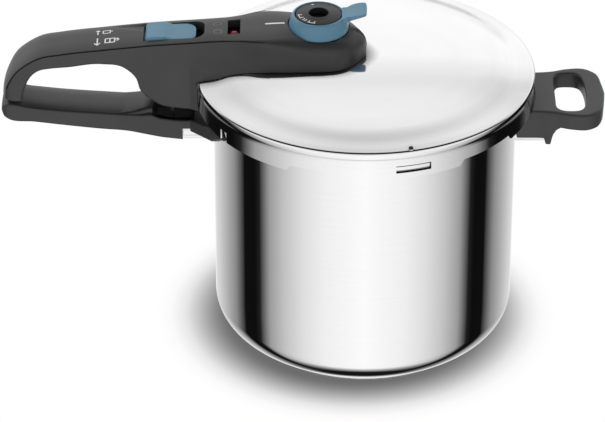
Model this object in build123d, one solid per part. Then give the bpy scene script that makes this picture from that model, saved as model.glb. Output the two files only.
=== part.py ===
"""A bayonet pressure cooker: a steel pot with two handles and a turning lid with its valves and lock.

The origin is the centre of the base's underside, +Z is up, +X points at the helper handle and the
long handles point along -X. Millimetres and degrees.
"""
from build123d import *
from math import cos, radians, sin
import os

# ---------------------------------------------------------------- pot
pot_inner_radius = 110.0
pot_wall = 1.0
pot_height = 205.0
pot_corner_radius = 22.0
base_radius = 90.0
base_height = 6.5
base_skin = 0.8
rim_flange = 4.5
lug_reach = 9.5
lug_drop = 9.0
lug_count = 6
lug_pitch = 56.5
first_lug_angle = -131.5
lug_half_angle = 12.0

# ---------------------------------------------------------------- lid
lid_wall = 1.2
lid_rise = 21.5
lug_to_skirt_gap = 1.8
rim_bead = 0.8
skirt_drop = 11.0
shallow_skirt_drop = 6.5
lid_lug_reach = 6.0
gasket_height = 7.6
gasket_width = 13.0
stand_off = 0.3

# ---------------------------------------------------------------- handles
handle_half_width = 17.5
head_half_width = 26.0
cover_thickness = 3.0
handle_gap = 0.35
pot_handle_half_width = 17.0
helper_half_width = 35.0
bracket_steel = 1.2
bracket_height = 7.0
bracket_half_width = 17.0
helper_bracket_half_width = 20.0
screw_radius = 2.5
screw_head_radius = 4.5
handle_screw_station = 42.3
handle_screw_offset = 13.0

# ---------------------------------------------------------------- selector, valves and lock
selector_station = 90.3
selector_radius = 22.0
dial_radius = 17.5
dial_height = 55.0
stem_radius = 8.0
chimney_bore = 6.0
steam_orifice = 1.6
valve_seat = 18.6
safety_seat = 17.8
running_gap = 0.05
safety_station = 58.3
safety_stem_radius = 5.0
safety_bore = 3.6
indicator_station = 29.3
indicator_offset = -4.5
indicator_radius = 2.5
lock_travel = 6.0
button_half_width = 12.0
button_outer_station = -35.2
button_inner_station = 1.3
lock_bar_steel = 1.5
keeper_station = -14.2

# ---------------------------------------------------------------- worked out from the sizes above
pot_radius = pot_inner_radius + pot_wall
lug_radius = pot_radius + lug_reach
skirt_inner_radius = lug_radius + lug_to_skirt_gap
skirt_radius = skirt_inner_radius + lid_wall
lid_radius = skirt_radius + rim_bead
lid_lug_inner_radius = skirt_inner_radius - lid_lug_reach
lug_angles = [first_lug_angle + lug_pitch * number for number in range(lug_count)]
lid_lug_bottom = pot_height - skirt_drop
deck_height = pot_height + lid_rise

parts_folder = "parts"
nodes = {}


def at(station, height):
    """A point of the XZ plane: station in from the lid's long-handle edge, height above the pot's rim."""
    return (station - lid_radius, pot_height + height)


def level(height):
    return pot_height + height


def polar(radius, angle):
    return (radius * cos(radians(angle)), radius * sin(radians(angle)))


def spin(points, radii=None):
    """A solid of revolution about Z from (radius, z) corners, each rounded by its own radius."""
    if radii is None:
        outline = Polyline(*points, close=True)
    else:
        outline = FilletPolyline(*points, radius=radii, close=True)
    return revolve(Plane.XZ * make_face(outline), Axis.Z)


def ring(inner, outer, low, high):
    flat = Circle(outer) - Circle(inner) if inner > 0 else Circle(outer)
    return Pos(0, 0, low) * extrude(flat, high - low)


def rod(radius, low, high):
    return ring(0, radius, low, high)


def sector(inner, outer, low, high, middle, half_angle):
    """The part of a ring within half_angle of the direction middle."""
    centre = Pos((inner + outer) / 2, (low + high) / 2)
    flat = Plane.XZ * (centre * Rectangle(outer - inner, high - low))
    return Rot(0, 0, middle - half_angle) * revolve(flat, Axis.Z, 2 * half_angle)


def block(x_low, x_high, half_width, z_low, z_high):
    size = Box(x_high - x_low, 2 * half_width, z_high - z_low)
    return Pos((x_low + x_high) / 2, 0, (z_low + z_high) / 2) * size


def side_shape(outline, half_width):
    """A solid with the given XZ outline, as wide as 2 x half_width."""
    return extrude(Plane.XZ * make_face(outline), half_width, both=True)


def plan_shape(outline, low, high):
    return Pos(0, 0, low) * extrude(make_face(outline), high - low)


def radial_window(angle, half_width, low, high, lean=0.0):
    """A prism through the skirt at one angle; lean makes its low edge wider than its high edge."""
    corners = [(-half_width - lean, low), (half_width + lean, low), (half_width, high), (-half_width, high)]
    depth = 2 * (lid_radius - lid_lug_inner_radius)
    flat = Plane.YZ.offset(lid_lug_inner_radius) * make_face(Polyline(*corners, close=True))
    return Rot(0, 0, angle) * extrude(flat, depth)


def keep(name, shape):
    nodes[name] = shape


# ---------------------------------------------------------------- pot
def pot_body():
    floor = base_height
    outer = [(0, floor), (pot_radius, floor), (pot_radius, pot_height), (0, pot_height)]
    inner = [(0, floor + pot_wall), (pot_inner_radius, floor + pot_wall), (pot_inner_radius, pot_height + 1)]
    inner.append((0, pot_height + 1))
    shell = spin(outer, [0, pot_corner_radius, 0, 0]) - spin(inner, [0, pot_corner_radius - pot_wall, 0, 0])
    flange_radius = pot_radius + rim_flange
    shell += ring(pot_inner_radius, flange_radius, pot_height - pot_wall, pot_height)
    for angle in lug_angles:
        shell += sector(flange_radius - 1, lug_radius, pot_height - pot_wall, pot_height, angle, lug_half_angle)
        edge_low = pot_height - lug_drop
        shell += sector(lug_radius - pot_wall, lug_radius, edge_low, pot_height, angle, lug_half_angle)
    return shell


def base_core():
    return rod(base_radius - base_skin, base_skin, base_height)


def base_cap():
    cup = spin([(0, 0), (base_radius, 0), (base_radius, base_height), (0, base_height)], [0, 2, 0, 0])
    return cup - base_core()


def channel(reach, far, half_width, flange_end, side):
    """A steel channel welded to the pot wall, open below, its web going on as a narrower tongue."""
    web_low = level(-33)
    web = Pos(side * (reach + flange_end) / 2, 0, web_low + bracket_steel / 2)
    steel = web * Box(flange_end - reach, 2 * half_width, bracket_steel)
    tongue = Pos(side * (reach + far) / 2, 0, web_low + bracket_steel / 2)
    steel += tongue * Box(far - reach, 1.3 * half_width, bracket_steel)
    for edge in (-1, 1):
        place = Pos(side * (reach + flange_end) / 2, edge * (half_width - bracket_steel / 2), 0)
        height = bracket_height
        steel += place * Pos(0, 0, web_low - height / 2) * Box(flange_end - reach, bracket_steel, height)
    middle = 0 if side > 0 else 180
    tab_half_angle = 0.75 * half_width / pot_radius * 57.3
    tab_low = web_low - bracket_height
    tab = sector(pot_radius, pot_radius + bracket_steel, tab_low, web_low + bracket_steel, middle, tab_half_angle)
    return (steel + tab) - rod(pot_radius, 0, pot_height)


def pot_handle_bracket():
    steel = channel(pot_radius - 4, pot_radius + 37, bracket_half_width, pot_radius + 22, -1)
    return steel - Pos(-screw_place(), 0, 0) * rod(screw_radius, level(-60), level(0))


def helper_bracket():
    steel = channel(pot_radius - 4, pot_radius + 23, helper_bracket_half_width, pot_radius + 20.5, 1)
    slot = block(pot_radius + 1.5, pot_radius + 4.5, helper_bracket_half_width + 1, level(-39), level(-35.5))
    steel -= slot
    return steel - Pos(helper_screw_place(), 0, 0) * rod(screw_radius, level(-60), level(0))


def screw_place():
    return pot_radius + 31


def helper_screw_place():
    return pot_radius + 14


def screw(x, head_low, head_high, tip):
    head = rod(screw_head_radius, head_low, head_high) - rod(1.6, head_low, head_low + 1.6)
    return Pos(x, 0, 0) * (head + rod(screw_radius, head_high, tip))


def pot_handle_screw():
    return screw(-screw_place(), level(-41), level(-38), level(-29))


def helper_handle_screw():
    return screw(helper_screw_place(), level(-37.5), level(-33), level(-22))


def keeper_window():
    x = at(keeper_station, 0)[0]
    return block(x - 6, x + 6, 3.3, level(-21.3), level(-17))


def lock_keeper():
    """The steel post that stands on the pot handle; the lid's lock finger passes through its window."""
    x = at(keeper_station, 0)[0]
    post = block(x - 1.5, x + 1.5, 6, level(-28.6), level(-15.8))
    return post - keeper_window()


def keeper_housing():
    """The black block on the pot handle that holds the keeper, curved so that the lid's lock swings past."""
    outer = lid_radius + 15.6
    shape = sector(lid_radius + 2.7, outer, level(-27), level(-15.6), 180, 6.2)
    shape -= side_shape(pot_handle_side(), 60)
    return shape - handle_foot() - lock_keeper() - keeper_window()


def lock_shroud():
    """The black guard under the lid handle's block, round the lock's leg."""
    shape = sector(lid_radius + 18.7, lid_radius + 28.2, level(-21.2), level(-15), 180, 5.8)
    return shape - leg_shaft()


def leg_shaft():
    return block(at(-25, 0)[0], at(-14.5, 0)[0], 2.9, level(-24), level(35.2))


def pot_handle_side():
    top = Spline(at(-137.5, -12.1), at(-98.7, -16.3), at(-66, -18.8), at(-30.7, -20.5))
    step = Spline(top @ 1, at(-28.6, -21.8), at(-25, -22.9), at(-14, -24.6), at(0.5, -25))
    foot = Polyline(step @ 1, at(14.5, -25), at(14.5, -33), at(-8.8, -33), at(-8.8, -42))
    bottom = Spline(foot @ 1, at(-25.7, -39.9), at(-48, -35), at(-68.7, -33), at(-98.7, -29.5), at(-136, -25.2))
    end = ThreePointArc(bottom @ 1, at(-142.5, -18.5), top @ 0)
    return top + step + foot + bottom + end


def handle_ramp():
    """The rise at the inner end of the pot handle's top, under the lid handle's block."""
    floor = Polyline(at(-31.5, -15.5), at(-31.5, -24), at(-47, -24), at(-47, -19.8))
    rise = Spline(floor @ 1, at(-41.5, -19.2), at(-36.5, -17), at(-34.5, -15.5), tangents=[(1, 0), (0.3, 1)])
    return side_shape(floor + rise + Line(rise @ 1, floor @ 0), pot_handle_half_width - 3.5)


def handle_foot():
    """The flared end of the pot handle, whose two wings hug the pot and rise towards their tips."""
    w = pot_handle_half_width
    half = [(-128, w), (-113, w + 14), (-103, w + 28), (-97, w + 28), (-97, 0)]
    outline = half + [(x, -y) for x, y in reversed(half[:-1])]
    foot = plan_shape(Polyline(*outline, close=True), level(-34.5), level(-23))
    for edge in (-1, 1):
        slope = Plane.YZ * make_face(Polyline((edge * 31, level(-35)), (edge * 60, level(-35)),
                                              (edge * 60, level(-13.4)), close=True))
        foot -= Pos(-2 * pot_radius, 0, 0) * extrude(slope, 3 * pot_radius)
    return foot


def pot_handle():
    w = pot_handle_half_width
    ends = [at(-142.5, 0)[0], at(30, 0)[0]]
    corners = [(ends[0], -w), (ends[1], -w), (ends[1], w), (ends[0], w)]
    plan = FilletPolyline(*corners, radius=[9, 0, 0, 9], close=True)
    shape = side_shape(pot_handle_side(), 2 * w) & plan_shape(plan, level(-60), level(0))
    shape += handle_ramp()
    shape += handle_foot()
    shape -= rod(pot_radius, 0, pot_height)
    far = at(-9.5, 0)[0]
    shape -= block(far, 0, bracket_half_width, level(-50), level(-33))
    shape -= pot_handle_bracket()
    shape -= lock_keeper()
    screw_x = -screw_place()
    shape -= Pos(screw_x, 0, 0) * rod(screw_radius, level(-41), level(-29))
    return shape - Pos(screw_x, 0, 0) * rod(screw_head_radius, level(-60), level(-38))


def helper_side():
    x = lid_radius
    corners = [(pot_radius - 6, level(-33)), (pot_radius - 6, level(-12)), (x - 6, level(-12)), (x - 6, level(-10))]
    corners += [(x + 51.5, level(-10)), (x + 51.5, level(-17)), (x + 46, level(-23.5)), (x + 18, level(-23)),
                (x + 13, level(-29)), (x + 11, level(-38)), (x + 7.5, level(-38)), (x + 7.5, level(-33))]
    radii = [0, 0, 0, 0, 3, 4, 4, 6, 2, 1, 0, 0]
    return FilletPolyline(*corners, radius=radii, close=True)


def helper_plan():
    x = lid_radius
    w = helper_half_width
    front = [(x - 25, -w + 6), (x + 3, -w + 5.5), (x + 14, -w + 4), (x + 25, -w + 0.5), (x + 38, -w)]
    side = Spline(*front)
    corner = Spline(side @ 1, (x + 46, -w + 6), (x + 50.2, -12), (x + 51.4, 0), (x + 50.2, 12),
                    (x + 46, w - 6), (x + 38, w))
    back = Spline(*[(px, -py) for px, py in reversed(front)])
    return side + corner + back + Line(back @ 1, side @ 0)


def helper_handle():
    x = lid_radius
    shape = side_shape(helper_side(), 60) & plan_shape(helper_plan(), level(-60), level(0))
    hole = [(x + 15, -22), (x + 20, -27), (x + 34, -27), (x + 37.5, -12), (x + 37.5, 12), (x + 34, 27)]
    hole += [(x + 20, 27), (x + 15, 22)]
    hole_outline = FilletPolyline(*hole, radius=[5, 5, 7, 12, 12, 7, 5, 5], close=True)
    shape -= plan_shape(hole_outline, level(-60), level(0))
    shape -= rod(pot_radius, 0, pot_height)
    shape -= rod(lid_radius + stand_off + 0.2, lid_lug_bottom - 1.0, deck_height)
    shape -= helper_bracket()
    shape -= Pos(helper_screw_place(), 0, 0) * rod(screw_radius, level(-60), level(-22))
    return shape - Pos(helper_screw_place(), 0, 0) * rod(screw_head_radius, level(-60), level(-33))


# ---------------------------------------------------------------- lid
def lid_solid(inset, low):
    """The lid's envelope down to the height low, made smaller all round by inset."""
    r = lid_radius - inset
    z = pot_height - inset
    dome = Spline((0, z + 21.5), (r - 84, z + 21.1), (r - 46.3, z + 19.4), (r - 34, z + 18.3), (r - 23, z + 16.3),
                  (r - 11.3, z + 12.4), (r - 4.5, z + 11), tangents=[(1, 0), (1, -0.12)])
    shoulder = Spline(dome @ 1, (r - 1.1, z + 9.9), (r, z + 7.6), (skirt_radius - inset, z + 4),
                      tangents=[(1, -0.12), (0, -1)])
    rest = Polyline(shoulder @ 1, (skirt_radius - inset, low), (0, low), dome @ 0)
    return revolve(Plane.XZ * make_face(dome + shoulder + rest), Axis.Z)


def skirt_notches():
    """Everything cut out of the skirt between its lugs: shallow stretches, a slit and a window."""
    low = lid_lug_bottom - 1
    high = pot_height - shallow_skirt_drop
    inner = lid_lug_inner_radius - 1
    outer = lid_radius + 1
    spans = [(-116.0, -92.5), (-56.0, -34.0), (-3.0, 22.5), (53.5, 79.0), (110.0, 135.5)]
    cuts = [sector(inner, outer, low, high, (a + b) / 2, (b - a) / 2) for a, b in spans]
    for a, b in spans:
        for angle in (a, b):
            cuts.append(radial_window(angle, 0.2, low, high, 3.4))
    cuts.append(radial_window(-146.0, 3.8, low, pot_height - 3.0))
    cuts.append(sector(inner, outer, lid_lug_bottom + 4.3, lid_lug_bottom + 10.1, -74.5, 6.0))
    return cuts


def lid_shell():
    shell = lid_solid(0, lid_lug_bottom) - lid_solid(lid_wall, lid_lug_bottom - 5)
    for angle in lug_angles:
        shell += sector(lid_lug_inner_radius, skirt_radius - 0.3, lid_lug_bottom, lid_lug_bottom + lid_wall,
                        angle, lug_half_angle)
    for cut in skirt_notches():
        shell -= cut
    shell -= on_station(selector_station) * rod(stem_radius, pot_height, level(40))
    shell -= on_station(safety_station) * rod(safety_stem_radius, pot_height, level(40))
    shell -= indicator_place() * rod(indicator_radius + 2, pot_height, level(40))
    return shell - stud_place() * rod(1.4, pot_height, level(12))


def stud_place():
    x, y = polar(lid_radius - 4.2, -75.2)
    return Pos(x, y, 0)


def alignment_stud():
    top = level(12.6)
    dome = spin([(0, top - 2.0), (2.4, top - 2.0), (2.4, top), (0, top)], [0, 0, 1.5, 0])
    stud = stud_place() * (dome + rod(1.4, level(8.6), top - 1))
    return stud - lid_shell()


def lid_gasket():
    low = level(stand_off)
    high = low + gasket_height
    outer = skirt_inner_radius - 0.5
    inner = outer - gasket_width
    corners = [(inner, low), (outer, low), (outer, high), (inner, high), (inner, high - 1.6),
               (outer - 3.5, high - 2.4), (outer - 3.5, low + 2.4), (inner, low + 1.6)]
    return spin(corners, [0.4, 0.8, 2.4, 0.5, 0.4, 1.2, 1.2, 0.4])


def on_station(station):
    return Pos(at(station, 0)[0], 0, 0)


def indicator_place():
    return Pos(at(indicator_station, 0)[0], indicator_offset, 0)


# ---------------------------------------------------------------- lid handle
def top_line():
    """The lid handle's top line from its outer tip over the head to the head's nose."""
    stations = [(-139.2, -7.7), (-136.3, 5), (-129.7, 16), (-122.7, 22), (-112.7, 27.7), (-96.7, 31),
                (-66.7, 34.8), (-31.7, 38.6), (1.3, 41), (29.3, 43), (49.3, 45), (64.3, 45.8), (94.3, 45),
                (112.3, 42), (121.3, 38), (125.3, 32)]
    return Spline(*[at(s, h) for s, h in stations])


def under_line(start):
    """The lid handle's underside: the flat block beside the skirt, then the top of the finger loop."""
    flat = Line(start, at(-16, -15))
    curve = Spline(flat @ 1, at(-32.7, -7), at(-39.1, -0.7), at(-42.5, 10), at(-51, 18.5), at(-66.7, 21.5),
                   tangents=[(-1, 0), (-1, 0)])
    grip = Spline(curve @ 1, at(-97.7, 18.3), at(-114, 15.6), at(-122.5, 5), at(-125.7, -8.3),
                  tangents=[(-1, 0), (0, -1)])
    return flat + curve + grip


def handle_side():
    top = top_line()
    nose = Spline(top @ 1, at(123.5, 24), at(117, 18), tangents=[(0, -1), (-1, -0.5)])
    belly = Polyline(nose @ 1, at(113, 5), at(0, 5), at(0, -15))
    under = under_line(belly @ 1)
    return top + nose + belly + under + Line(under @ 1, top @ 0)


def handle_plan():
    w = handle_half_width
    half = [(15, w), (29.3, w + 1.2), (43, w + 5), (56, head_half_width - 0.8), (74.3, head_half_width),
            (94.3, head_half_width - 1.2), (109, 20.5), (119.5, 12.5), (125.3, 0)]
    front = [(at(s, 0)[0], -y) for s, y in half]
    back = [(at(s, 0)[0], y) for s, y in reversed(half[:-1])]
    head = Spline(*(front + back), tangents=[(1, 0), (-1, 0)])
    x = at(-139.2, 0)[0]
    tip = FilletPolyline(head @ 1, (x, w), (x, -w), head @ 0, radius=[8, 8])
    return head + tip


def cover_zone():
    """The strip just under the top line, cover_thickness deep, that the cover takes from the handle."""
    top = top_line()
    steps = [number / 40 for number in range(41)]
    inner = []
    for step in reversed(steps):
        point = top @ step
        run = top % step
        inner.append((point.X + run.Y * cover_thickness, point.Y - run.X * cover_thickness))
    lower = Spline(*inner)
    closing = [Line(top @ 1, lower @ 0), Line(lower @ 1, top @ 0)]
    return side_shape(top + closing[0] + lower + closing[1], 2 * head_half_width)


def handle_envelope():
    plan = plan_shape(handle_plan(), level(-60), level(80))
    return side_shape(handle_side(), 2 * head_half_width) & plan


def valve_pockets():
    """Room inside the head for the fittings that stand on the lid."""
    low = pot_height
    pockets = [on_station(selector_station) * rod(13.5, low, level(27.5))]
    pockets.append(on_station(selector_station) * rod(stem_radius + 0.4, low, level(60)))
    pockets.append(on_station(selector_station) * rod(12.6, level(42), level(60)))
    pockets.append(on_station(selector_station) * rod(selector_radius + 0.6, level(42.4), level(60)))
    pockets.append(on_station(safety_station) * rod(9.5, low, level(35)))
    pockets.append(indicator_place() * rod(6.6, low, level(24)))
    pockets.append(indicator_place() * rod(indicator_radius + 1.4, low, level(60)))
    return pockets


def lock_pockets():
    """The channel for the lock bar, the shaft for its leg and the bed for its button."""
    x0 = at(button_outer_station, 0)[0]
    x1 = at(button_inner_station, 0)[0]
    bed = block(x0 - 1.5, x1 + lock_travel + 0.3, button_half_width + 0.4, level(35), level(60))
    bar = block(at(-26, 0)[0], at(20.5, 0)[0] + 1, 6.4, level(32.5), level(35.2))
    return [bed, bar, leg_shaft()]


def lid_handle_body():
    shape = handle_envelope() - cover_zone()
    shape -= lid_solid(-handle_gap, lid_lug_bottom - 10)
    for pocket in valve_pockets() + lock_pockets():
        shape -= pocket
    x = at(handle_screw_station, 0)[0]
    shape -= lid_handle_bracket_envelope()
    for y in (-handle_screw_offset, handle_screw_offset):
        shape -= Pos(x, y, 0) * rod(2.0, pot_height, level(60))
        shape -= Pos(x, y, 0) * rod(4.2, level(35), level(60))
    return shape


def lid_handle_cover():
    shape = handle_envelope() & cover_zone()
    shape -= on_station(selector_station) * rod(selector_radius + 0.6, pot_height, level(60))
    window = block(at(24.3, 0)[0], at(33.5, 0)[0], 10.5, pot_height, level(60))
    shape -= window
    return shape - lock_pockets()[0]


def lid_handle_bracket_envelope():
    x = at(handle_screw_station, 0)[0]
    return block(x - 5.5, x + 5.5, 18, pot_height, level(22.5))


def lid_handle_bracket():
    plate = lid_handle_bracket_envelope() - lid_solid(0, pot_height - 1)
    x = at(handle_screw_station, 0)[0]
    for y in (-handle_screw_offset, handle_screw_offset):
        plate -= Pos(x, y, 0) * rod(2.0, pot_height, level(60))
    return plate


def lid_handle_screws():
    x = at(handle_screw_station, 0)[0]
    low = level(20.6)
    one = rod(2.0, low, level(35)) + rod(4.0, level(35), level(37.4))
    one -= Box(6, 1, 2.4).moved(Location((0, 0, level(37.4))))
    return Compound(children=[Pos(x, y, 0) * one for y in (-handle_screw_offset, handle_screw_offset)])


# ---------------------------------------------------------------- selector
def selector_disc():
    top = level(dial_height)
    bore = stem_radius + running_gap
    corners = [(7.2, top - 4), (7.2, top + 2), (9, top + 2), (dial_radius, top), (dial_radius, top - 8),
               (12, top - 8), (12, level(42.5)), (bore, level(42.5)), (bore, top - 4)]
    return on_station(selector_station) * spin(corners)


def selector_ring():
    top = level(dial_height)
    skirt = [(dial_radius, top - 12), (selector_radius, top - 12), (selector_radius, top - 10.5),
             (dial_radius + 1, top), (dial_radius, top)]
    lever_side = Polyline((dial_radius - 1, top - 5), (dial_radius - 1, top), (24, top + 2), (35, top + 4.2),
                          (35, top + 0.7), (24, top - 2.5), close=True)
    lever = side_shape(lever_side, 12)
    lever_plan = FilletPolyline((0, -9), (17, -9), (21.5, -6), (23, -10), (35, -10), (35, 10), (23, 10),
                                (20, 7), (17, 9), (0, 9), radius=[0, 3, 1.4, 3, 3, 3, 1.4, 3, 0, 0],
                                close=True)
    lever &= plan_shape(lever_plan, top - 20, top + 20)
    shape = spin(skirt) + (lever - rod(dial_radius, top - 20, top + 20))
    return on_station(selector_station) * shape


# ---------------------------------------------------------------- valves through the lid
def fitting(station, stem, flange, top, bore, orifice, bottom, seat):
    """A threaded body that stands through the lid: a flange below, a stem above, a bore over an orifice."""
    low = level(bottom)
    body = rod(stem - 1, low, level(seat - 2)) + rod(flange, level(seat - 2), level(seat))
    body += rod(stem, level(seat), top)
    body -= rod(orifice, low, level(60))
    body -= rod(bore, level(27), level(90))
    return on_station(station) * body


def seal_ring(station, inner, outer, seat):
    """A rubber washer between a fitting's flange and the lid's underside, shaped by the lid."""
    washer = on_station(station) * ring(inner, outer, level(seat), level(26))
    return washer & lid_solid(lid_wall, pot_height)


def hex_nut(station, inner, across, height):
    """A nut on the lid's outside, its underside shaped by the lid."""
    flat = RegularPolygon(across / 2, 6, major_radius=False) - Circle(inner)
    nut = on_station(station) * (Pos(0, 0, level(15)) * extrude(flat, height + lid_rise - 15))
    return nut - lid_solid(0, pot_height)


def spring(radius, wire, low, high, turns):
    """A coil spring on the Z axis through the origin."""
    height = high - low - wire
    path = Helix(height / turns, height, radius - wire / 2, center=(0, 0, low + wire / 2))
    section = Plane(path @ 0, z_dir=path % 0) * Circle(wire / 2)
    return sweep(section, path, is_frenet=True)


def valve_body():
    top = level(50.6)
    return fitting(selector_station, stem_radius, 12.5, top, chimney_bore, steam_orifice, 9, valve_seat)


def valve_needle():
    """The sliding plug: a cone that closes the orifice and three ribs that leave the steam a way past."""
    low = level(27)
    cone = spin([(0, low + 0.3), (1.2, low + 0.3), (2.6, low + 3), (0, low + 3)])
    plug = cone + rod(chimney_bore - running_gap, low + 3, low + 9)
    for angle in (0, 120, 240):
        plug -= Rot(0, 0, angle) * Pos(chimney_bore, 0, low + 6) * Cylinder(1.5, 8)
    return on_station(selector_station) * (plug + rod(2.5, low + 9, low + 12))


def valve_spring():
    return on_station(selector_station) * spring(chimney_bore - 0.5, 0.9, level(36.1), level(47.5), 5)


def valve_cap():
    cap = rod(chimney_bore, level(47.6), level(50)) - rod(3.2, level(47), level(51))
    for angle in range(0, 360, 90):
        cap -= Rot(0, 0, angle) * Pos(4.6, 0, level(48.8)) * Cylinder(0.7, 6)
    return on_station(selector_station) * cap


def steam_filter():
    """A cup pressed on the fitting's lower end, slotted round its side to hold food back."""
    low = level(5.5)
    tube = stem_radius - 1
    cup = rod(tube + 1.2, low, level(12)) - rod(tube, level(9), level(13)) - rod(tube - 1.2, low + 1, level(13))
    for number in range(6):
        cup -= Rot(0, 0, 60 * number) * Pos(tube, 0, low + 2.2) * Box(6, 1.6, 1.6)
    return on_station(selector_station) * cup


def safety_body():
    top = level(34)
    return fitting(safety_station, safety_stem_radius, 8.5, top, safety_bore, 1.5, 11, safety_seat)


def safety_plug():
    low = level(27)
    plug = rod(safety_bore - running_gap, low + 1.4, low + 3.4)
    for angle in (60, 180, 300):
        plug -= Rot(0, 0, angle) * Pos(safety_bore, 0, low + 2) * Cylinder(0.9, 6)
    plug += spin([(0, low + 0.3), (1.1, low + 0.3), (2.2, low + 1.4), (0, low + 1.4)])
    return on_station(safety_station) * plug


def safety_spring():
    return on_station(safety_station) * spring(safety_bore - 0.4, 0.6, level(30.5), level(32.2), 2)


def safety_cap():
    cap = ring(1.4, safety_bore, level(32.3), level(33.8))
    return on_station(safety_station) * cap


def indicator_bush():
    bush = ring(indicator_radius + running_gap, 6.2, level(13.5), level(23.4))
    return indicator_place() * bush - lid_shell()


def indicator_pin():
    pin = rod(indicator_radius, level(9.5), level(38.5)) + rod(indicator_radius + 1, level(38.5), level(41.2))
    pin += rod(3.6, level(6.8), level(9.5))
    return indicator_place() * pin


def indicator_seal():
    return indicator_place() * ring(indicator_radius, 4.4, level(9.5), level(10.9))


# ---------------------------------------------------------------- lock
def lock_bar():
    top = level(34.8)
    bar = block(at(-24.7, 0)[0], at(13.8, 0)[0], 6, top - lock_bar_steel, top)
    leg = block(at(-24.7, 0)[0], at(-22.2, 0)[0], 2.5, level(-20.5), top)
    finger = block(at(-24.7, 0)[0], at(-17.7, 0)[0], 2.5, level(-20.5), level(-17.7))
    return bar + leg + finger - lock_screw_place() * rod(1.5, level(30), level(40))


def lock_screw_place():
    return on_station(-8)


def lock_screw():
    top = level(33.3)
    return lock_screw_place() * (rod(1.5, top, level(38.5)) + rod(2.6, top - 0.7, top))


def lock_button():
    x0 = at(button_outer_station, 0)[0]
    x1 = at(button_inner_station, 0)[0]
    side = Polyline((x0, level(35.3)), (x1, level(35.3)), (x1, level(39.9)), (x1 - 17, level(39.6)),
                    (x0 + 15, level(41.6)), (x0 + 2, level(41.2)), (x0, level(39.5)), close=True)
    w = button_half_width
    plan = FilletPolyline((x0, -w), (x1, -w), (x1, w), (x0, w), radius=[2, 7, 7, 2], close=True)
    shape = side_shape(side, 2 * w) & plan_shape(plan, level(20), level(60))
    return shape - lock_screw_place() * rod(1.5, level(30), level(38.5))


def make_pot():
    keep("pot_body", pot_body())
    keep("base_core", base_core())
    keep("base_cap", base_cap())
    keep("pot_handle_bracket", pot_handle_bracket())
    keep("helper_bracket", helper_bracket())
    keep("pot_handle", pot_handle())
    keep("helper_handle", helper_handle())
    keep("pot_handle_screw", pot_handle_screw())
    keep("helper_handle_screw", helper_handle_screw())
    keep("lock_keeper", lock_keeper())
    keep("keeper_housing", keeper_housing())


def make_lid():
    keep("lid_gasket", lid_gasket())
    keep("lid_shell", lid_shell())
    keep("alignment_stud", alignment_stud())
    keep("lid_handle_body", lid_handle_body())
    keep("lid_handle_cover", lid_handle_cover())
    keep("lid_handle_bracket", lid_handle_bracket())
    keep("lid_handle_screws", lid_handle_screws())


def make_valves():
    keep("selector_disc", selector_disc())
    keep("selector_ring", selector_ring())
    keep("valve_body", valve_body())
    keep("valve_seal", seal_ring(selector_station, stem_radius, 12.5, valve_seat))
    keep("valve_nut", hex_nut(selector_station, stem_radius, 22, 4))
    keep("valve_needle", valve_needle())
    keep("valve_spring", valve_spring())
    keep("valve_cap", valve_cap())
    keep("steam_filter", steam_filter())
    keep("safety_body", safety_body())
    keep("safety_seal", seal_ring(safety_station, safety_stem_radius, 8.5, safety_seat))
    keep("safety_nut", hex_nut(safety_station, safety_stem_radius, 15, 3.5))
    keep("safety_plug", safety_plug())
    keep("safety_spring", safety_spring())
    keep("safety_cap", safety_cap())
    keep("indicator_bush", indicator_bush())
    keep("indicator_pin", indicator_pin())
    keep("indicator_seal", indicator_seal())


def make_lock():
    keep("lock_shroud", lock_shroud())
    keep("lock_bar", lock_bar())
    keep("lock_screw", lock_screw())
    keep("lock_button", lock_button())


make_pot()
make_lid()
make_valves()
make_lock()
os.makedirs(parts_folder, exist_ok=True)
for name, shape in nodes.items():
    export_step(shape, f"{parts_folder}/{name}.step")
    print(name, len(shape.solids()), round(shape.volume))
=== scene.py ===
# %% [markdown]
# # A pressure cooker in polished steel and satin plastic
# The CAD model is loaded first and never moved. Every surface below is built in metres in the same frame:
# the origin is the centre of the base, +Z is up and the long handles point along -X.

import bmesh
import bpy
import numpy as np
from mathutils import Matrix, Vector


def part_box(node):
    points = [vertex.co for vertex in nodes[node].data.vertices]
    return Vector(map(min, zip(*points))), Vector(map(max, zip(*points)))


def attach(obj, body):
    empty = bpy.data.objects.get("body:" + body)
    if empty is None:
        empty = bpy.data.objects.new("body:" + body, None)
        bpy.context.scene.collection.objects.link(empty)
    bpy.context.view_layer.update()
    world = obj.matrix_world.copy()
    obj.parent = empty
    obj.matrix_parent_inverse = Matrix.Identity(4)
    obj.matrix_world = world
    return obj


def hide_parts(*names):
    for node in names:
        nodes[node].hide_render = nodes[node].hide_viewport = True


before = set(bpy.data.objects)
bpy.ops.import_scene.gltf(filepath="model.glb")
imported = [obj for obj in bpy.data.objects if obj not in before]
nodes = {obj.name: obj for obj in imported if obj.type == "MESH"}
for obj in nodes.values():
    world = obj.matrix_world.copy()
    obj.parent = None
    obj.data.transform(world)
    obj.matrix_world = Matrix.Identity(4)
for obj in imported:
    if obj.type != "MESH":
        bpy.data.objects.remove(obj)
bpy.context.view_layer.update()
MM = 0.001

# %% [markdown]
# Real paints and plastics are given as hex values on a screen, but Blender mixes light in linear numbers, so
# one function converts them. A second one adds a shader node, sets it and wires it in a single call.


# %% Colour and node helpers
def linear(hex_colour):
    """sRGB hex to linear RGBA: each channel c becomes ((c + 0.055) / 1.055) ** 2.4, or c / 12.92 near
    black."""
    channels = np.array([int(hex_colour[i:i + 2], 16) / 255 for i in (1, 3, 5)])
    bent = np.where(channels > 0.04045, ((channels + 0.055) / 1.055) ** 2.4, channels / 12.92)
    return (*bent.tolist(), 1.0)


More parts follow.
